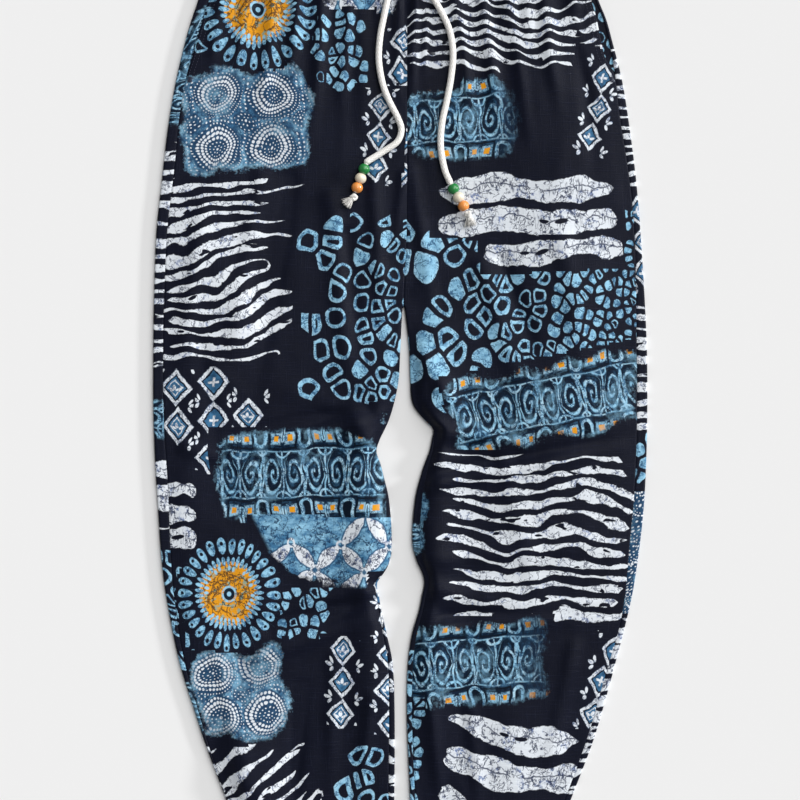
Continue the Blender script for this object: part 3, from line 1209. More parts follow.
def lozengeChains(patch, x, y, halfX, halfY, seed, chain, tall):
    # Chains of diamonds with a white outline, a small mark inside and trefoils beside them
    bentX = x + (cloud(x * 0.03 + seed * 5, y * 0.04) - 0.5) * 8
    bentY = y + (cloud(x * 0.04, y * 0.03 + seed * 8) - 0.5) * 6
    column = (bentX / chain + 0.5).floor()
    lineY = bentY / tall + 0.5 + column * 0.17
    line = lineY.floor()
    sway = (chanceOf(line + 7, column + seed * 10) - 0.5) * 5
    cellX = bentX - column * chain + sway
    cellY = (lineY - line - 0.5) * tall
    luck = chanceOf(column + 3, line + seed * 10)
    wide = tall * 0.43
    brush = (cloud(x * 0.40, y * 0.40, 3.0, 0.7) - 0.5) * 0.16
    level = cellX.size() / wide + cellY.size() / (tall * 0.52) + brush
    homeX = (halfX - (column * chain).size() - wide * 0.55).over(0.0)
    homeY = (halfY - ((line - column * 0.17) * tall).size() - tall * 0.40).over(0.0)
    shape = (1.0 - level).ramp(0.0, 0.06) * homeX * homeY
    groove = (0.73 - level).ramp(0.0, 0.04)
    inside = (0.62 - level).ramp(0.0, 0.05)
    thinLine = (0.06 - (level - 0.42).size()).ramp(0.0, 0.04) * luck.over(0.62)
    cross = cellX.size().least(cellY.size())
    plus = (1.5 - cross).ramp(0.0, 0.5) * (1 - hypot(cellX, cellY).ramp(5.0, 5.8)) * (1 - luck.over(0.45))
    leaf = trefoil(cellX, 3.6 - cellY, 7.4) * luck.over(0.45)
    white = (shape * (1 - groove)).most(plus.most(leaf).most(thinLine) * inside * shape)
    nodeY = ((lineY + 0.5).frac() - 0.5) * tall
    sideX = (bentX - column * chain).size() - wide * 0.78
    beside = trefoil(nodeY + sideX * 0.35, sideX, 8.4) * (halfX - x.size() - 1.0).ramp(0.0, 1.0)
    beside = beside * (halfY - y.size() - 5.0).over(0.0) * homeX
    worn = cloud(x * 0.20, y * 0.20 + 8, 3.0, 0.7).ramp(0.24, 0.34)
    white = white.most(beside * (1 - shape)) * worn
    fill = blended(cloud(x * 0.15, y * 0.15 + 5, 3.0).ramp(0.35, 0.65), "deep", "mid")
    mask = white.most(inside * shape * 0.94) * within(x, y, halfX, halfY, 0.4, 1.4)
    return blended(white, fill, waxedWhite(patch, 9.0, 0.7)), mask


def scrollBand(patch, x, y, halfX, halfY, seed, fading, pitch):
    # A band of plain paired volutes between two rows of arches, with gold dots, on a worn blue ground
    joined = fading.over(0.2) * fading.under(0.3)
    frayY = y + (y.least(0.0) - y) * joined * (1 - (x / halfX).ramp(0.50, 0.68))
    torn = frayed(patch, x, frayY, 13.0)
    bentX = x + (cloud(x * 0.03 + seed * 5, y * 0.03) - 0.5) * 11 + seed * 13
    bentY = y + (cloud(x * 0.03, y * 0.03 + seed * 8) - 0.5) * 9
    turn = bentX / pitch
    signed = (turn.frac() - 0.5) * pitch
    mirrored = signed.size()
    level = bentY.size()
    inner = halfY * 0.49
    stroke = 0.75 + 0.6 * cloud(x * 0.12 + seed, y * 0.12, 2.0)

    def drawnLine(distance, width):
        return (width * stroke - distance.size()).ramp(-0.35, 0.55)

    # volutes, taller than wide
    squeezed = bentY * (pitch * 0.25) / inner
    dx, dy = mirrored - pitch * 0.262, squeezed
    reach = hypot(dx, dy)
    spin = dy.arctan(dx) / (2 * math.pi)
    coil = pitch * 0.118
    wound = (reach / coil - spin + 0.08).frac() - 0.5
    volute = drawnLine(wound * coil, 1.0) * (pitch * 0.232 - reach).ramp(0.0, 0.8)
    corner = drawnLine(hypot(mirrored, level - inner) - pitch * 0.15, 1.15)
    corner = corner.most(drawnLine(hypot(pitch * 0.5 - mirrored, level - inner) - pitch * 0.10, 1.15))
    stem = drawnLine(mirrored, 0.9).most(drawnLine(pitch * 0.5 - mirrored - (1 - level / inner) * 2.2, 1.0))
    middle = (inner - level).ramp(0.0, 0.6)
    lines = volute.most(corner * (1 - (pitch * 0.236 - reach).over(0.0))).most(stem) * middle
    # arches and paired gold squares along both long edges
    border = (level - inner - 0.8).ramp(0.0, 0.8)
    edgeY = halfY * 0.95 - level
    deepest = halfY * 0.95 - inner
    arch = hypot(pitch * 0.5 - mirrored, (edgeY - deepest * 0.56).most(0.0))
    archLine = drawnLine(arch - pitch * 0.128, 1.6)
    slim = hypot(mirrored, (edgeY - deepest * 0.50).most(0.0))
    slimLine = drawnLine(slim - pitch * 0.030, 0.9)
    square = (mirrored - pitch * 0.165).size().most((edgeY - deepest * 0.42).size() * 0.86)
    gold = (pitch * 0.062 - square).ramp(0.0, 0.6)
    glow = (pitch * 0.125 - square).ramp(0.0, 1.4)
    step = (mirrored - pitch * 0.305).size().most(edgeY - deepest * 0.86)
    step = step.least((edgeY - deepest * 0.86).size().most(mirrored - pitch * 0.305))
    dark = (pitch * 0.090 - arch).ramp(0.0, 0.8).most((1.5 - step).ramp(0.0, 0.8))
    rim = drawnLine(level - inner, 0.8)
    lines = lines.most((archLine.most(slimLine).most(glow * 0.85) * (1 - dark)) * border).most(rim * 0.8)
    worn = cloud(x * 0.15, y * 0.15 + seed * 3, 3.0, 0.7).ramp(0.27, 0.42)
    mottle = cloud(x * 0.06, y * 0.06 + 6, 4.0, 0.7)
    wash = blended(mottle.ramp(0.46, 0.72) * 0.5, "night", "mid")
    wash = waxedPaint(patch, wash, 9.0, 0.8, "ink", "ink")
    wash = blended(dark * border, wash, "ink")
    unwound = (reach / coil - spin + 0.42).frac() - 0.5
    shadow = drawnLine(unwound * coil, 0.8) * middle * (pitch * 0.25 - reach).over(0.0)
    wash = blended(shadow * 0.75, wash, "ink")
    lit = cloud(x * 0.09 + 30, y * 0.09 + seed * 4, 3.0, 0.65).ramp(0.44, 0.60) * 0.75
    bright = blended(lit, "light", "pale")
    bright = blended(mottle.ramp(0.44, 0.68) * 0.6, bright, "mid")
    bright = waxedBlue(patch, bright, 8.0, 1.0)
    painted = blended(lines * worn, wash, bright)
    painted = blended(gold * border, painted, "gold")
    glowing = torn["Edge"] * mottle.ramp(0.44, 0.62) * 0.45
    painted = blended(glowing, painted, "light")
    dimmed = ((x / halfX - 0.45) * 1.6).ramp(0.0, 1.0) * fading.over(0.5) * 0.7
    streaks = cloud(x * 0.30, y * 0.12 + seed, 3.0, 0.7)
    fade = ((halfX * 0.96 - x) / (halfX * 0.55)).most(1 - fading) + (streaks - 0.5) * 1.1
    return blended(dimmed, painted, "deep"), torn["Mask"] * fade.ramp(0.0, 0.8).least(1.0)


def leafLattice(patch, x, y, halfX, halfY, seed, bareTop, pitch):
    # White petals of overlapping circles on a washed light blue
    joined = bareTop.over(0.0) * bareTop.under(1.0)
    frayY = y + (y.most(0.0) - y) * joined
    leaned = x - (y + halfY) * x.under(0.0) * joined * 0.55
    torn = frayed(patch, leaned, frayY, 14.0)
    bentX = x + (cloud(x * 0.03 + seed * 5, y * 0.03) - 0.5) * 8
    bentY = y + (cloud(x * 0.03, y * 0.03 + seed * 8) - 0.5) * 8
    u = bentX / pitch + bentY / pitch * 0.9 + seed
    v = bentY / pitch * 0.9 - bentX / pitch
    fx, fy = (u.frac() - 0.5).size(), (v.frac() - 0.5).size()
    away = hypot(0.5 - fx.most(fy), 0.5 + fx.least(fy))
    rough = (cloud(x * 0.25, y * 0.25, 2.0) - 0.5) * 1.2
    petal = ((0.682 - away) * pitch + rough).ramp(0.0, 0.8)
    halo = ((0.722 - away) * pitch).ramp(0.0, 0.8)
    centre = hypot(fx, fy)
    star = ((0.13 - centre) * pitch).ramp(0.0, 0.8) * (centre - 0.05).ramp(0.0, 0.03) * chanceOf(seed, 2.0)

    def belowTop(middleU, middleV):
        # the top of the patch is bare, and no petal is cut there
        middleX = (middleU - seed - middleV) * pitch * 0.5
        return ((middleU - seed + middleV) * pitch * 0.556 + middleX * 0.16 + halfY * bareTop).over(0.0)

    upright = fx.over(fy)
    insideU, insideV = u.floor() + 0.5, v.floor() + 0.5
    onU, onV = (u + 0.5).floor(), (v + 0.5).floor()
    below = belowTop(insideU + (onU - insideU) * upright, onV + (insideV - onV) * upright)
    white = (petal * below).most(star * belowTop(insideU, insideV))
    mottle = cloud(x * 0.05, y * 0.09 + seed * 6, 4.0, 0.7)
    wash = blended(mottle.ramp(0.38, 0.66), "mid", "light")
    wash = waxedPaint(patch, wash, 11.0, 1.0, "shade", "deep")
    wash = blended(halo * (1 - white) * below * 0.85, wash, "deep")
    return blended(white, wash, waxedWhite(patch, 8.0, 1.0)), torn["Mask"]


def makeSlub():
    # Plain weave of uneven cotton and linen threads, from the cut's coordinates in metres
    tree, takes, gives = newGroup("slubWeave", {"Cut": None, "Thread": 0.62}, ("Shade", "Height"))
    x, y, _ = parts(takes["Cut"])
    x, y = x * 1000, y * 1000
    thread = Num(takes["Thread"])
    weft = cloud(x * 0.030, y * 1.05, 2.0, 0.6)
    warp = cloud(x * 1.05 + 50, y * 0.026, 2.0, 0.6)
    thickWeft = cloud(x * 0.045 + 9, y * 0.62, 1.0).ramp(0.60, 0.74)
    thickWarp = cloud(x * 0.62, y * 0.040 + 31, 1.0).ramp(0.62, 0.76)
    faded = cloud(x * 0.012, y * 0.012 + 80, 3.0)
    over = (x * (2 * math.pi) / (thread * 2)).sine() * (y * (2 * math.pi) / (thread * 2)).sine()
    shade = 0.62 + 0.40 * weft + 0.36 * warp + 0.30 * thickWeft + 0.22 * thickWarp
    shade = shade + (faded - 0.5) * 0.5 + over * 0.10
    feed(gives["Shade"], shade)
    feed(gives["Height"], over * 0.25 + weft * 0.4 + warp * 0.4 + thickWeft * 0.5 + thickWarp * 0.4)
    return tree


slub = makeSlub()
motifs = {
    "zebra": zebraStripes, "strip": broadStrips, "pebble": pebbleField, "dots": dotRosettes, "sun": sunRosette,
    "lozenge": lozengeChains, "scroll": scrollBand, "leaf": leafLattice,
}
cloth = {
    "shine": {"Roughness": 0.42, "Specular IOR Level": 0.08, "Sheen Weight": 0.01, "Sheen Roughness": 0.5},
    "bump": 0.6, "relief": 0.0004, "softened": 0.28,
}


def motifGroup(draw):
    tree, takes, gives = newGroup(draw.__name__, patchTakes, ("Colour", "Mask"))
    x, y, _ = parts(takes["Place"])
    halfX, halfY, _ = parts(takes["Half"])
    colour, mask = draw(takes, x, y, halfX, halfY, *parts(takes["Chance"]))
    feed(gives["Colour"], colour)
    feed(gives["Mask"], mask)
    return tree


def clothMaterial(name, draw=None):
    # The plain cloth, or the cloth with one motif printed on it
    made, tree, inputs = newMaterial(name + "Cloth", cloth["shine"])
    weave = useGroup(tree, slub, Cut=uvMap(tree, "cut"))
    shade = weave["Shade"]
    colour = multiplied(colours["navy"][:3], shade)
    if draw:
        seed, own, _ = parts(uvMap(tree, "chance"))
        pitch, _, _ = parts(uvMap(tree, "pitch"))
        drawn = useGroup(tree, motifGroup(draw), Place=uvMap(tree, "place"), Half=uvMap(tree, "half"),
                         Chance=point(seed, own, pitch))
        printed = multiplied(drawn["Colour"], 1 - cloth["softened"] + cloth["softened"] * shade)
        colour = blended(drawn["Mask"], colour, printed)
    feed(inputs["Base Color"], colour)
    addBump(inputs, weave["Height"], cloth["bump"], cloth["relief"])
    return made


clothKinds = {"plain": clothMaterial("navy")}
clothKinds.update({motif: clothMaterial(motif, draw) for motif, draw in motifs.items()})
print("motifs drawn")

# Where each motif of the print lies on the two fronts, in millimetres and degrees. A negative half width is
# drawn mirrored, and each motif has a value of its own.
Patch = namedtuple("Patch", "motif x down halfWidth halfLength turn seed own pitch")
frontPrint = {
    -1: (
        ("pebble", -228, 88, 20, 46, 0, 0.31, 0.004, 17), ("leaf", -39, 50, 50, 32, 0, 0.12, 2, 52),
        ("pebble", -66, 106, -40, 46, 0, 0.57, 0.002, 12), ("lozenge", 2, 168, 22, 92, 0, 0.25, 44, 36),
        ("lozenge", -24, 200, 30, 58, 4, 0.66, 60, 34), ("zebra", -184, 346, 90, 106, -2, 0.37, 0.62, 14.5),
        ("dots", -170, 183, 80, 65, -2, 0.43, 0, 60), ("sun", -156.5, 60.5, 66, 68, 0, 0.21, 27, 0),
        ("pebble", -42, 396, 76, 118, 0, 0.73, 0.0058, 19), ("lozenge", -206, 512, 66, 60, 2, 0.91, 41, 42),
        ("dots", -18, 514, 17, 22, 0, 0.18, 0, 22), ("pebble", -108, 724, -40, 40, 0, 0.27, 0.002, 12),
        ("scroll", -112, 570, -98, 52, -1.5, 0.52, 0.25, 47),
        ("leaf", -84, 657, 86, 40, 2, 0.34, 0.60, 54), ("pebble", -246, 716, 16, 52, 0, 0.63, 0.004, 15),
        ("strip", -250, 622, 28, 46, 0, 0.22, 0, 26), ("pebble", -236, 806, 14, 46, 0, 0.83, 0.004, 14),
        ("lozenge", -12, 770, 24, 92, 0, 0.39, 46, 38), ("lozenge", -62, 800, 30, 52, 3, 0.55, 60, 36),
        ("zebra", -150, 930, 70, 78, -27, 0.61, 0.55, 15), ("dots", -174, 813, 60, 56, -8, 0.71, 0, 53),
        ("sun", -188.4, 703, 58, 64, 0, 0.47, 28, 0), ("pebble", -42, 946, 44, 80, 0, 0.45, 0.006, 22),
    ),
    1: (
        ("scroll", 68, 181, 68, 48, -4, 0.35, 1.0, 47), ("zebra", 112, 84, -122, 50, 0, 0.83, 0.0, 12.2),
        ("lozenge", 216, 168, 34, 66, 9, 0.49, 60, 33), ("pebble", 250, 352, 18, 60, 0, 0.14, 0.004, 11),
        ("pebble", 122, 396, 152, 124, 0, 0.09, 0.0050, 18), ("strip", 140, 276, 108, 38, 1, 0.74, 0.5, 35),
        ("strip", 166, 329, 80, 20, -3, 0.31, 0, 34), ("scroll", 160, 492, 112, 50, -11, 0.58, 0, 47),
        ("lozenge", 222, 800, 30, 66, 14, 0.33, 60, 36),
        ("zebra", 146, 644, -116, 99, 1, 0.29, 0.0, 15), ("leaf", 22, 612, 15, 58, 0, 0.77, -3, 46),
        ("scroll", 84, 778, 88, 51, -4, 0.19, 0.9, 47),
        ("strip", 120, 896, 84, 58, 11, 0.41, 0, 42), ("pebble", 16, 896, 13, 80, 0, 0.51, 0.004, 12),
        ("dots", 92, 986, 66, 30, 0, 0.95, 0, 52),
    ),
}
# The backs carry other stretches of the same print; x is measured on the opened cloth
backPrint = {
    -1: (
        ("scroll", -262, 116, 74, 40, 90, 0.36, 0, 44), ("zebra", -262, 330, 46, 128, 0, 0.17, 0.2, 15),
        ("scroll", -262, 506, 30, 46, 90, 0.62, 0, 44), ("strip", -262, 596, 46, 44, 0, 0.81, 0, 32),
        ("pebble", -250, 716, 44, 74, 0, 0.44, 0.004, 16), ("scroll", -230, 826, 40, 40, 90, 0.2, 0, 44),
        ("zebra", -200, 930, 60, 66, 0, 0.5, 0.4, 15), ("dots", -110, 150, 84, 70, 0, 0.3, 0, 56),
        ("sun", -110, 330, 66, 66, 0, 0.4, 28, 0), ("pebble", -110, 500, 80, 80, 0, 0.6, 0.005, 20),
        ("lozenge", -20, 700, 40, 140, 0, 0.7, 44, 42), ("scroll", -120, 680, 80, 46, 0, 0.8, 0, 46),
        ("leaf", -120, 800, 70, 50, 0, 0.9, 0, 56), ("zebra", -20, 930, 60, 80, 0, 0.15, 0.4, 15),
    ),
    1: (
        ("zebra", 260, 182, 46, 86, 0, 0.66, 0.0, 11), ("lozenge", 266, 316, 22, 62, 0, 0.28, 40, 34),
        ("zebra", 262, 456, 46, 80, 0, 0.42, 0.1, 14), ("dots", 262, 646, 34, 100, 0, 0.38, 0, 26),
        ("pebble", 262, 556, 34, 34, 0, 0.64, 0.004, 14), ("strip", 220, 812, 60, 88, 0, 0.58, 0, 18),
        ("zebra", 180, 950, 60, 60, 0, 0.5, 0.0, 15), ("pebble", 110, 150, 84, 80, 0, 0.3, 0.005, 20),
        ("dots", 110, 330, 80, 66, 0, 0.4, 0, 56), ("scroll", 110, 480, 90, 48, 0, 0.6, 0, 46),
        ("sun", 110, 640, 64, 64, 0, 0.7, 28, 0), ("leaf", 110, 790, 80, 50, 0, 0.8, 0, 56),
        ("scroll", 14, 640, 26, 46, 90, 0.9, 0, 40), ("pebble", 10, 860, 34, 110, 0, 0.15, 0.004, 14),
    ),
}
facingPrint = {
    -1: (("scroll", -220, 90, 60, 50, 90, 0.5, 0, 40),),
    1: (("pebble", 222, 104, 34, 62, 0, 0.68, 0.002, 12),),
}


def paintPrint(item, cuts, patches):
    # Gives each face its motif's material, and its corners their place in that motif
    mesh = item.data
    for layer in list(mesh.uv_layers):
        mesh.uv_layers.remove(layer)
    mesh.materials.clear()
    for material in clothKinds.values():
        mesh.materials.append(material)
    order, kinds, turned = list(clothKinds), [], []
    maps = {name: [0.0] * (2 * len(mesh.loops)) for name in ("cut", "place", "half", "chance", "pitch")}
    for row in patches:
        patch = Patch(*row)
        angle = math.radians(patch.turn)
        turned.append((patch, math.cos(angle), math.sin(angle)))

    def placeIn(patch, cosine, sine, x, down):
        # A place on the cut, in a patch's own turned frame
        offX, offDown = x - patch.x, down - patch.down
        return offX * cosine + offDown * sine, offDown * cosine - offX * sine

    for face in mesh.polygons:
        corners = [cuts[mesh.loops[index].vertex_index] for index in face.loop_indices]
        middle = [sum(values) / len(corners) for values in zip(*corners)]
        chosen = None
        for found in turned:
            patch = found[0]
            localX, localY = placeIn(*found, *middle)
            if abs(localX) < abs(patch.halfWidth) and abs(localY) < patch.halfLength:
                fromMiddle = math.hypot(localX / patch.halfWidth, localY / patch.halfLength)
                chosen = found if patch.motif != "sun" or fromMiddle < 1.02 else chosen
        kinds.append(order.index(chosen[0].motif) if chosen else 0)
        for index, (x, down) in zip(face.loop_indices, corners):
            values = {"cut": (x * mm, -down * mm)}
            if chosen:
                patch = chosen[0]
                localX, localY = placeIn(*chosen, x, down)
                values["place"] = (localX if patch.halfWidth > 0 else -localX, localY)
                values["half"] = (abs(patch.halfWidth), patch.halfLength)
                values["chance"] = (patch.seed, patch.own)
                values["pitch"] = (patch.pitch, 0.0)
            for name, pair in values.items():
                maps[name][2 * index:2 * index + 2] = pair
    mesh.polygons.foreach_set("material_index", kinds)
    for name, values in maps.items():
        mesh.uv_layers.new(name=name).data.foreach_set("uv", values)
    mesh.uv_layers.active = mesh.uv_layers["cut"]


def printedSheet(name, node, columns, rows, at, patches, wall, merge=None):
    # A grid whose points are placed by at(column, row), printed, and given a wall on both sides of its middle.
    # The function at gives x, down, height and the place on the cut.
    nothingSelected()
    bpy.ops.mesh.primitive_grid_add(x_subdivisions=columns, y_subdivisions=rows, size=1)
    item = named(bpy.context.object, name)
    cuts = []
    for vert in item.data.vertices:
        x, down, height, cut = at(round((vert.co.x + 0.5) * columns), round((0.5 - vert.co.y) * rows))
        vert.co = place(x, down, height)
        cuts.append(cut)
    paintPrint(item, cuts, patches)
    if merge:
        cleaned(item, merge, outward=False)
    useModifier(item, "SOLIDIFY", thickness=wall * mm, offset=0.0, use_even_offset=False)
    onlySelected(item)
    bpy.ops.object.shade_smooth_by_angle(angle=math.radians(40))
    return standsFor(item, node, "print_cloth")


def closerAtEnds(start, end, ends, count):
    inner = spread(start + ends[-1], end - ends[-1], count)
    return [start + part for part in ends[:-1]] + inner + [end - part for part in ends[-2::-1]]


def rowsOf(start, end, step):
    ends = (0.0, 0.5, 1.2, 2.2)
    return closerAtEnds(start, end, ends, round((end - start - 2 * ends[-1]) / step))


# Front and back panels
panel = {
    "columns": 86, "down": 3.1, "backDown": 4.2, "edge": (0.0, 0.45, 1.0, 1.7, 2.6), "wall": 0.9,
    "seamDip": 0.55, "seamWidth": 1.3, "mouthTop": 42.0, "mouthGap": {-1: 1.6, 1: 8.6},
    "backUnder": 34, "backRound": 9, "backInner": 14, "flatEnd": 7.0,
}
facing = {"columns": 16, "rows": 34, "middle": 2.9, "wall": 0.8, "under": 2.0, "least": 0.4, "below": 12}


def mouthOpening(side, down):
    if down > body["mouthEnd"]:
        return 0.0
    part = (down - panel["mouthTop"]) / (body["mouthEnd"] - panel["mouthTop"])
    return panel["mouthGap"][side] * ease((1 - part) / 0.3) * (0.55 + 0.45 * ease(part / 0.5))


def seamDip(places, at):
    # How far the cloth dips at both ends of a row of places
    near = min(at - places[0], places[-1] - at)
    return panel["seamDip"] * (1 - ease(near / panel["seamWidth"]))


def legRows(step):
    return rowsOf(body["bandSeam"] + halfGap, body["cuffSeam"] - halfGap, step)


def frontPanel(side):
    downs = legRows(panel["down"])
    lines = []
    for down in downs:
        start = seamFrom(side, down) + mouthOpening(side, down)
        end = abs(innerX(side, down) - outerX(side, down))
        if down > body["crotch"]:
            end -= seamFrom(side, down, inner=True)
        lines.append(closerAtEnds(start, end, panel["edge"], panel["columns"] - 2 * (len(panel["edge"]) - 1)))

    def at(column, row):
        down, runs = downs[row], lines[row]
        run = runs[column if side < 0 else -1 - column]
        x, height = frontPoint(side, down, run)
        dip = max(seamDip(runs, run), seamDip(downs, down))
        cutX = outerX(side, down) - side * run
        return x, down, height - dip, (cutX, down + printShift(cutX, down))

    name = sideNames[side]
    return printedSheet(f"frontPanel_{name}", f"front_{name}", panel["columns"], len(downs) - 1, at,
                        frontPrint[side], panel["wall"])


def backPanel(side):
    downs = legRows(panel["backDown"])
    lines = []
    for down in downs:
        width = abs(backInnerX(side, down) - outerX(side, down))
        start = halfFold - halfRound - read(rolls, sideColumn[side], down) + halfGap
        end = width
        lastFlat = width - panel["flatEnd"]
        if down > body["crotch"]:
            lastFlat = width - halfFold
            end = lastFlat + halfRound + read(rolls, sideColumn[side] + 2, down) - halfGap
        top = max(halfFold - halfRound, start + 0.25 * (halfFold - start))
        runs = [start, start + 0.12 * (top - start)] + spread(start + 0.3 * (top - start), top, 4)
        runs += spread(top, halfFold, panel["backRound"])[1:]
        runs += spread(halfFold, lastFlat, panel["backUnder"])[1:]
        lines.append(runs + spread(lastFlat, end, panel["backInner"])[1:])

    def at(column, row):
        down, runs = downs[row], lines[row]
        run = runs[column if side > 0 else -1 - column]
        x, height = backPoint(side, down, run)
        if run < halfFold - halfRound or (down > body["crotch"] and height > halfFold):
            height -= seamDip(runs, run)
        return x, down, height, (outerX(side, down) - side * run, down)

    name = sideNames[side]
    return printedSheet(f"backPanel_{name}", f"back_{name}", len(lines[0]) - 1, len(downs) - 1, at,
                        backPrint[side], panel["wall"])


def pocketFacing(side):
    downs = spread(panel["mouthTop"] + body["gap"], body["mouthEnd"] + facing["below"], facing["rows"])

    def at(column, row):
        down = downs[row]
        start = halfFold + max(read(rolls, sideColumn[side], down) - facing["under"], facing["least"])
        column = column if side < 0 else facing["columns"] - column
        x = outerX(side, down) - side * (start + body["facingWidth"] * column / facing["columns"])
        return x, down, facing["middle"], (x, down)

    name = sideNames[side]
    return printedSheet(f"pocketFacing_{name}", f"pocket_facing_{name}", facing["columns"], facing["rows"], at,
                        facingPrint[side], facing["wall"])


fronts = {side: frontPanel(side) for side in (-1, 1)}
backs = {side: backPanel(side) for side in (-1, 1)}
facings = {side: pocketFacing(side) for side in (-1, 1)}
print("panels laid")

# Elastic casings at the waist and at the hems
band = {
    "height": 42.0, "cloth": 2.2, "fold": 7.0, "strip": 4.0, "gather": 2.6, "wall": 1.6, "columns": 230,
    "down": 1.5, "backDown": 2.4, "backUnder": 90, "round": 9, "elasticRows": (13.5, 28.5), "pinch": 0.9,
    "edgeDip": 0.6, "pucker": 0.35, "cutPitch": 3.0,
}
hem = {
    "cloth": 2.0, "fold": 6.2, "gather": 2.8, "wall": 1.5, "down": 1.6, "elasticRows": (11.0, 22.0),
    "pinch": 0.8, "edgeDip": 0.5, "pucker": 0.3, "cutPitch": 2.0, "columns": 84, "under": 30, "round": 8,
    "sideEase": 18,
}
rowWidth = 1.6
holes = {"down": 21.0, "width": 8.6, "height": 16.0, -1: -8.0, 1: 22.4}


def fromHoles(x, clear, fade):
    return ease((abs(x - (holes[-1] + holes[1]) / 2) - clear) / fade)


def bandTop(x, down):
    fromEnds = ease((x - outerX(-1, down) - 14) / 30) * ease((outerX(1, down) - 14 - x) / 30)
    flow = 0.55 + 0.45 * abs(down / band["height"] - 0.45) / 0.55
    wave = gatherWave(x, body["gatherPitch"])
    small = band["pucker"] * (0.5 + 0.5 * math.sin(x / 1.9 + 2 * math.sin(x / 11)))
    rise = (band["gather"] * wave * flow + small) * fromEnds * fromHoles(x, 22, 24)
    return band["fold"] - band["cloth"] / 2 + rise


def pinched(down):
    # Where the rows of elastic stitching draw the waistband in
    return band["pinch"] * max(math.exp(-(((down - row) / rowWidth) ** 2)) for row in band["elasticRows"])


def edgeDip(sizes, downs, down):
    return sizes["edgeDip"] * (1 - ease(min(down - downs[0], downs[-1] - down) / rowWidth))


def roundEnd(sizes, x, way):
    # Points round a casing's fold, down on the right and up on the left
    radius, middle = (sizes["fold"] - sizes["cloth"]) / 2, sizes["fold"] / 2
    angles = spread(0.0, math.pi, sizes["round"]) if way > 0 else spread(math.pi, 0.0, sizes["round"])
    return [(x + way * radius * math.sin(angle), middle + radius * math.cos(angle)) for angle in angles]


def waistbandFront():
    downs = rowsOf(0.0, band["height"] - halfGap, band["down"])
    edge = band["fold"] / 2 + band["strip"] + halfGap

    def at(column, row):
        down = downs[row]
        left, right = outerX(-1, down) + edge, outerX(1, down) - edge
        x = left + (right - left) * column / band["columns"]
        height = bandTop(x, down) - pinched(down) * fromHoles(x, 26, 8) - edgeDip(band, downs, down)
        return x, down, height, (x, down)

    item = printedSheet("waistbandFront", "waistband_front", band["columns"], len(downs) - 1, at, (),
                        band["wall"])
    for side in (-1, 1):
        nothingSelected()
        bpy.ops.mesh.primitive_cylinder_add(vertices=24, radius=holes["width"] / 2 * mm, depth=14 * mm)
        cutter = bpy.context.object
        for vert in cutter.data.vertices:
            vert.co.y += math.copysign((holes["height"] - holes["width"]) / 2 * mm, vert.co.y)
        cutter.location = place(holes[side], holes["down"], band["fold"])
        bpy.context.view_layer.update()
        useModifier(item, "BOOLEAN", operation="DIFFERENCE", solver="EXACT", object=cutter)
        bpy.data.objects.remove(cutter, do_unlink=True)
    return item


def casing(name, node, sizes, downs, section, merge=None):
    # A sheet whose rows are the casing's sections
    lines = [section(down) for down in downs]

    def at(column, row):
        x, height = lines[row][column]
        return x, downs[row], height, (column * sizes["cutPitch"], downs[row])

    return printedSheet(name, node, len(lines[0]) - 1, len(downs) - 1, at, (), sizes["wall"], merge)


def waistbandBack():
    def section(down):
        left, right = outerX(-1, down), outerX(1, down)
        high, turn = band["fold"] - band["cloth"] / 2, band["fold"] / 2
        line = [(right - turn - band["strip"] + halfGap, high), (right - turn - 2, high)]
        line += roundEnd(band, right - turn, 1)
        for part in spread(0.02, 0.98, band["backUnder"]):
            line.append((right + (left - right) * part, band["cloth"] / 2))
        line += roundEnd(band, left + turn, -1)
        return line + [(left + turn + 2, high), (left + turn + band["strip"] - halfGap, high)]

    downs = rowsOf(0.0, band["height"] - halfGap, band["backDown"])
    return casing("waistbandBack", "waistband_back", band, downs, section)


def legSpan(side, down):
    return sorted((outerX(side, down), innerX(side, down)))


def cuff(side):
    downs = rowsOf(body["cuffSeam"] + halfGap, body["length"], hem["down"])

    def section(down):
        low, high = legSpan(side, down)
        left, right = low + hem["fold"] / 2, high - hem["fold"] / 2
        line = []
        for x in spread(left, right, hem["columns"]):
            edge = ease((x - left) / hem["sideEase"]) * ease((right - x) / hem["sideEase"])
            crown = 0.8 * hem["gather"] * gatherWave(x, body["cuffPitch"])
            small = hem["pucker"] * (0.5 + 0.5 * math.sin(x / 1.8 + 2 * math.sin(x / 9)))
            rise = (crown + small) * edge
            line.append((x, hem["fold"] - hem["cloth"] / 2 + rise - edgeDip(hem, downs, down)))
        line += roundEnd(hem, right, 1)[1:-1]
        line += [(x, hem["cloth"] / 2) for x in spread(right, left, hem["under"])]
        return line + roundEnd(hem, left, -1)[1:-1] + [line[0]]

    return casing(f"cuff_{sideNames[side]}Leg", f"cuff_{sideNames[side]}", hem, downs, section, merge=0.05 * mm)


bandFront, bandBack = waistbandFront(), waistbandBack()
cuffs = {side: cuff(side) for side in (-1, 1)}
print("casings gathered")

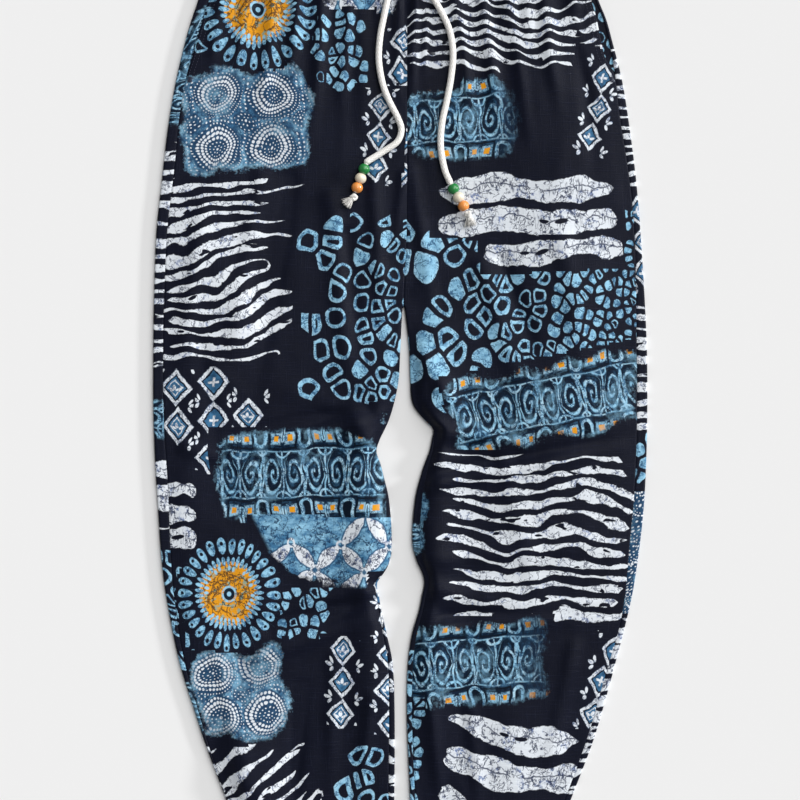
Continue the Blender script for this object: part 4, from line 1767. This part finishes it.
# The cut of each sheet in metres, before gathering: width, length, and its area where it isn't a rectangle
cutSizes = {
    "front": {"flat": (0.300, 0.985), "area": 0.225}, "back": {"flat": (0.315, 0.985), "area": 0.245},
    "facing": {"flat": (0.033, 0.106)}, "cuff": {"flat": (0.340, 0.036)},
    "bandFront": {"flat": (0.470, 0.045)}, "bandBack": {"flat": (0.520, 0.045)},
}
for side in (-1, 1):
    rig.sheet(fronts[side], **cutSizes["front"], held="laid", rests_on=[backs[side]])
    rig.sheet(backs[side], **cutSizes["back"], held="laid")
    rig.sheet(facings[side], **cutSizes["facing"], held="laid", rests_on=[backs[side]])
    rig.sheet(cuffs[side], **cutSizes["cuff"], held="gathered")
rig.sheet(bandFront, **cutSizes["bandFront"], held="gathered", rests_on=[bandBack])
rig.sheet(bandBack, **cutSizes["bandBack"], held="gathered")

# Sewing thread: rows along the pocket mouths, the elastic and the buttonholes
thread = {
    "length": 2.3, "pitch": 3.1, "radius": 0.28, "colour": (0.020, 0.024, 0.050), "roughness": 0.6,
    "mouthRows": (2.6, 7.2), "barTack": 12, "barLength": 6.4, "barStep": 0.55, "barIn": 4.6,
    "holeRound": 52, "holeStraight": 12, "holeLength": 2.0, "holeOut": 0.95,
}


def threadMaterial():
    made, tree, inputs = newMaterial("navyThread", {"Roughness": thread["roughness"]})
    x, y, z = [part * 3000 for part in parts(objectPlace(tree))]
    feed(inputs["Base Color"], multiplied(thread["colour"], 0.7 + 0.8 * cloud(x + z, y - z)))
    return made


navyThread = threadMaterial()


def sewn(name, stitches):
    # One small stitch copied to each (middle, direction, length), all joined into one piece
    nothingSelected()
    bpy.ops.mesh.primitive_uv_sphere_add(segments=6, ring_count=5, radius=1.0)
    model = bpy.context.object
    made = []
    for middle, direction, long in stitches:
        copy = model.copy()
        copy.data = model.data.copy()
        scene.collection.objects.link(copy)
        turn = direction.to_track_quat("X", "Z").to_matrix().to_4x4()
        size = Matrix.Diagonal((long / 2 * mm, thread["radius"] * mm, thread["radius"] * mm, 1.0))
        copy.data.transform(Matrix.Translation(middle) @ turn @ size)
        made.append(copy)
    bpy.data.objects.remove(model, do_unlink=True)
    item = joined(made, name)
    item.data.shade_smooth()
    item.data.materials.append(navyThread)
    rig.slot(item, "print_cloth")
    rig.ride(item, "root")


def evenly(start, end):
    while start < end:
        yield start
        start += thread["pitch"]


def stitchAt(spot, at, reach):
    # A stitch along the line of spot
    return spot(at), spot(at + reach) - spot(at - reach), thread["length"]


def pocketStitches(side):
    def frontTop(down, run, above):
        x, height = frontPoint(side, down, run)
        return place(x, down, height + panel["wall"] / 2 + above)

    stitches = []
    for inset in thread["mouthRows"]:
        def spot(down, inset=inset):
            return frontTop(down, seamFrom(side, down) + mouthOpening(side, down) + inset, 0.05)
        stitches += [stitchAt(spot, down, 0.5) for down in evenly(body["bandSeam"] + 4, body["mouthEnd"] + 4)]
    start = seamFrom(side, body["mouthEnd"] + 1)
    for step in range(thread["barTack"]):
        middle = frontTop(body["mouthEnd"] - 2 + step * thread["barStep"], start + thread["barIn"], 0.08)
        stitches.append((middle, Vector((1.0, 0.0, 0.0)), thread["barLength"]))
    sewn(f"pocketStitches_{sideNames[side]}", stitches)


def bandStitches():
    stitches = []
    edge = band["fold"] / 2 + band["strip"] + 3
    for row in band["elasticRows"]:
        for x in evenly(outerX(-1, row) + edge, outerX(1, row) - edge):
            away = fromHoles(x, 26, 8)

            def spot(at, row=row, away=away):
                return place(at, row, bandTop(at, row) - band["pinch"] * away + band["wall"] / 2 + 0.1)
            if away > 0.5:
                stitches.append(stitchAt(spot, x, 0.6))
    straight = (holes["height"] - holes["width"]) / 2
    reach = holes["width"] / 2 + thread["holeOut"]
    for side in (-1, 1):
        around = []
        for angle in spread(0.0, 2 * math.pi, thread["holeRound"])[:-1]:
            outX, outDown = math.cos(angle), math.sin(angle)
            around.append((outX * reach, outDown * reach + math.copysign(straight, outDown), outX, outDown))
        for step in range(thread["holeStraight"]):
            offDown = 2 * straight * (step + 0.5) / thread["holeStraight"] - straight
            around += [(flip * reach, offDown, 1.0, 0.0) for flip in (-1, 1)]
        for offX, offDown, outX, outDown in around:
            x, down = holes[side] + offX, holes["down"] + offDown
            middle = place(x, down, bandTop(x, down) + band["wall"] / 2 + 0.12)
            stitches.append((middle, Vector((outX, -outDown, 0.0)), thread["holeLength"]))
    sewn("waistbandStitches", stitches)


def cuffStitches(side):
    stitches = []
    for row in hem["elasticRows"]:
        down = body["cuffSeam"] + row
        low, high = legSpan(side, down)

        def spot(x, down=down, low=low + 3, high=high - 3):
            edge = ease((x - low) / hem["sideEase"]) * ease((high - x) / hem["sideEase"])
            crown = 0.8 * hem["gather"] * gatherWave(x, body["cuffPitch"]) - hem["pinch"]
            return place(x, down, hem["fold"] - hem["cloth"] / 2 + crown * edge + hem["wall"] / 2 + 0.1)
        stitches += [stitchAt(spot, x, 0.6) for x in evenly(low + 6, high - 6)]
    sewn(f"cuffStitches_{sideNames[side]}", stitches)


bandStitches()
for side in (-1, 1):
    pocketStitches(side)
    cuffStitches(side)
print("stitches sewn")

# Floor and soft light from the right and a little from the waist's side
floorLook = {
    "size": 60.0, "below": 0.0004,
    "shine": {"Base Color": (0.86, 0.86, 0.86, 1.0), "Roughness": 1.0, "Specular IOR Level": 0.0},
}
nothingSelected()
bpy.ops.mesh.primitive_plane_add(size=floorLook["size"], location=(0, 0, -floorLook["below"]))
studioFloor = bpy.context.object
studioFloor.name = "studioFloor"
studioFloor.data.materials.append(newMaterial("paleFloor", floorLook["shine"])[0])
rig.stage(studioFloor)

# The sky, and three lamps from the right: turn about Y and Z in radians, strength, softness
sky = {"Color": (1.0, 1.0, 1.0, 1.0), "Strength": 0.200}
lamps = {"low": (1.318, 0.20, 1.95, 0.10), "high": (0.860, 0.80, 2.30, 0.90), "top": (0.300, 0.30, 0.57, 0.30)}
scene.world = bpy.data.worlds.new("studioAir")
scene.world.use_nodes = True
for label, value in sky.items():
    scene.world.node_tree.nodes["Background"].inputs[label].default_value = value
for name, (tilt, swing, strength, softness) in lamps.items():
    bpy.ops.object.light_add(type="SUN", rotation=(0.0, tilt, swing))
    lamp = bpy.context.object
    lamp.name = name + "Lamp"
    lamp.data.energy = strength
    lamp.data.angle = softness

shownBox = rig.bounds()
with open("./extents.json", "w") as sizes:
    json.dump({"cad": [list(corner) for corner in cadBox],
               "visual": [list(corner) for corner in shownBox]}, sizes)
print("cad", [tuple(corner) for corner in cadBox], "visual", [tuple(corner) for corner in shownBox])
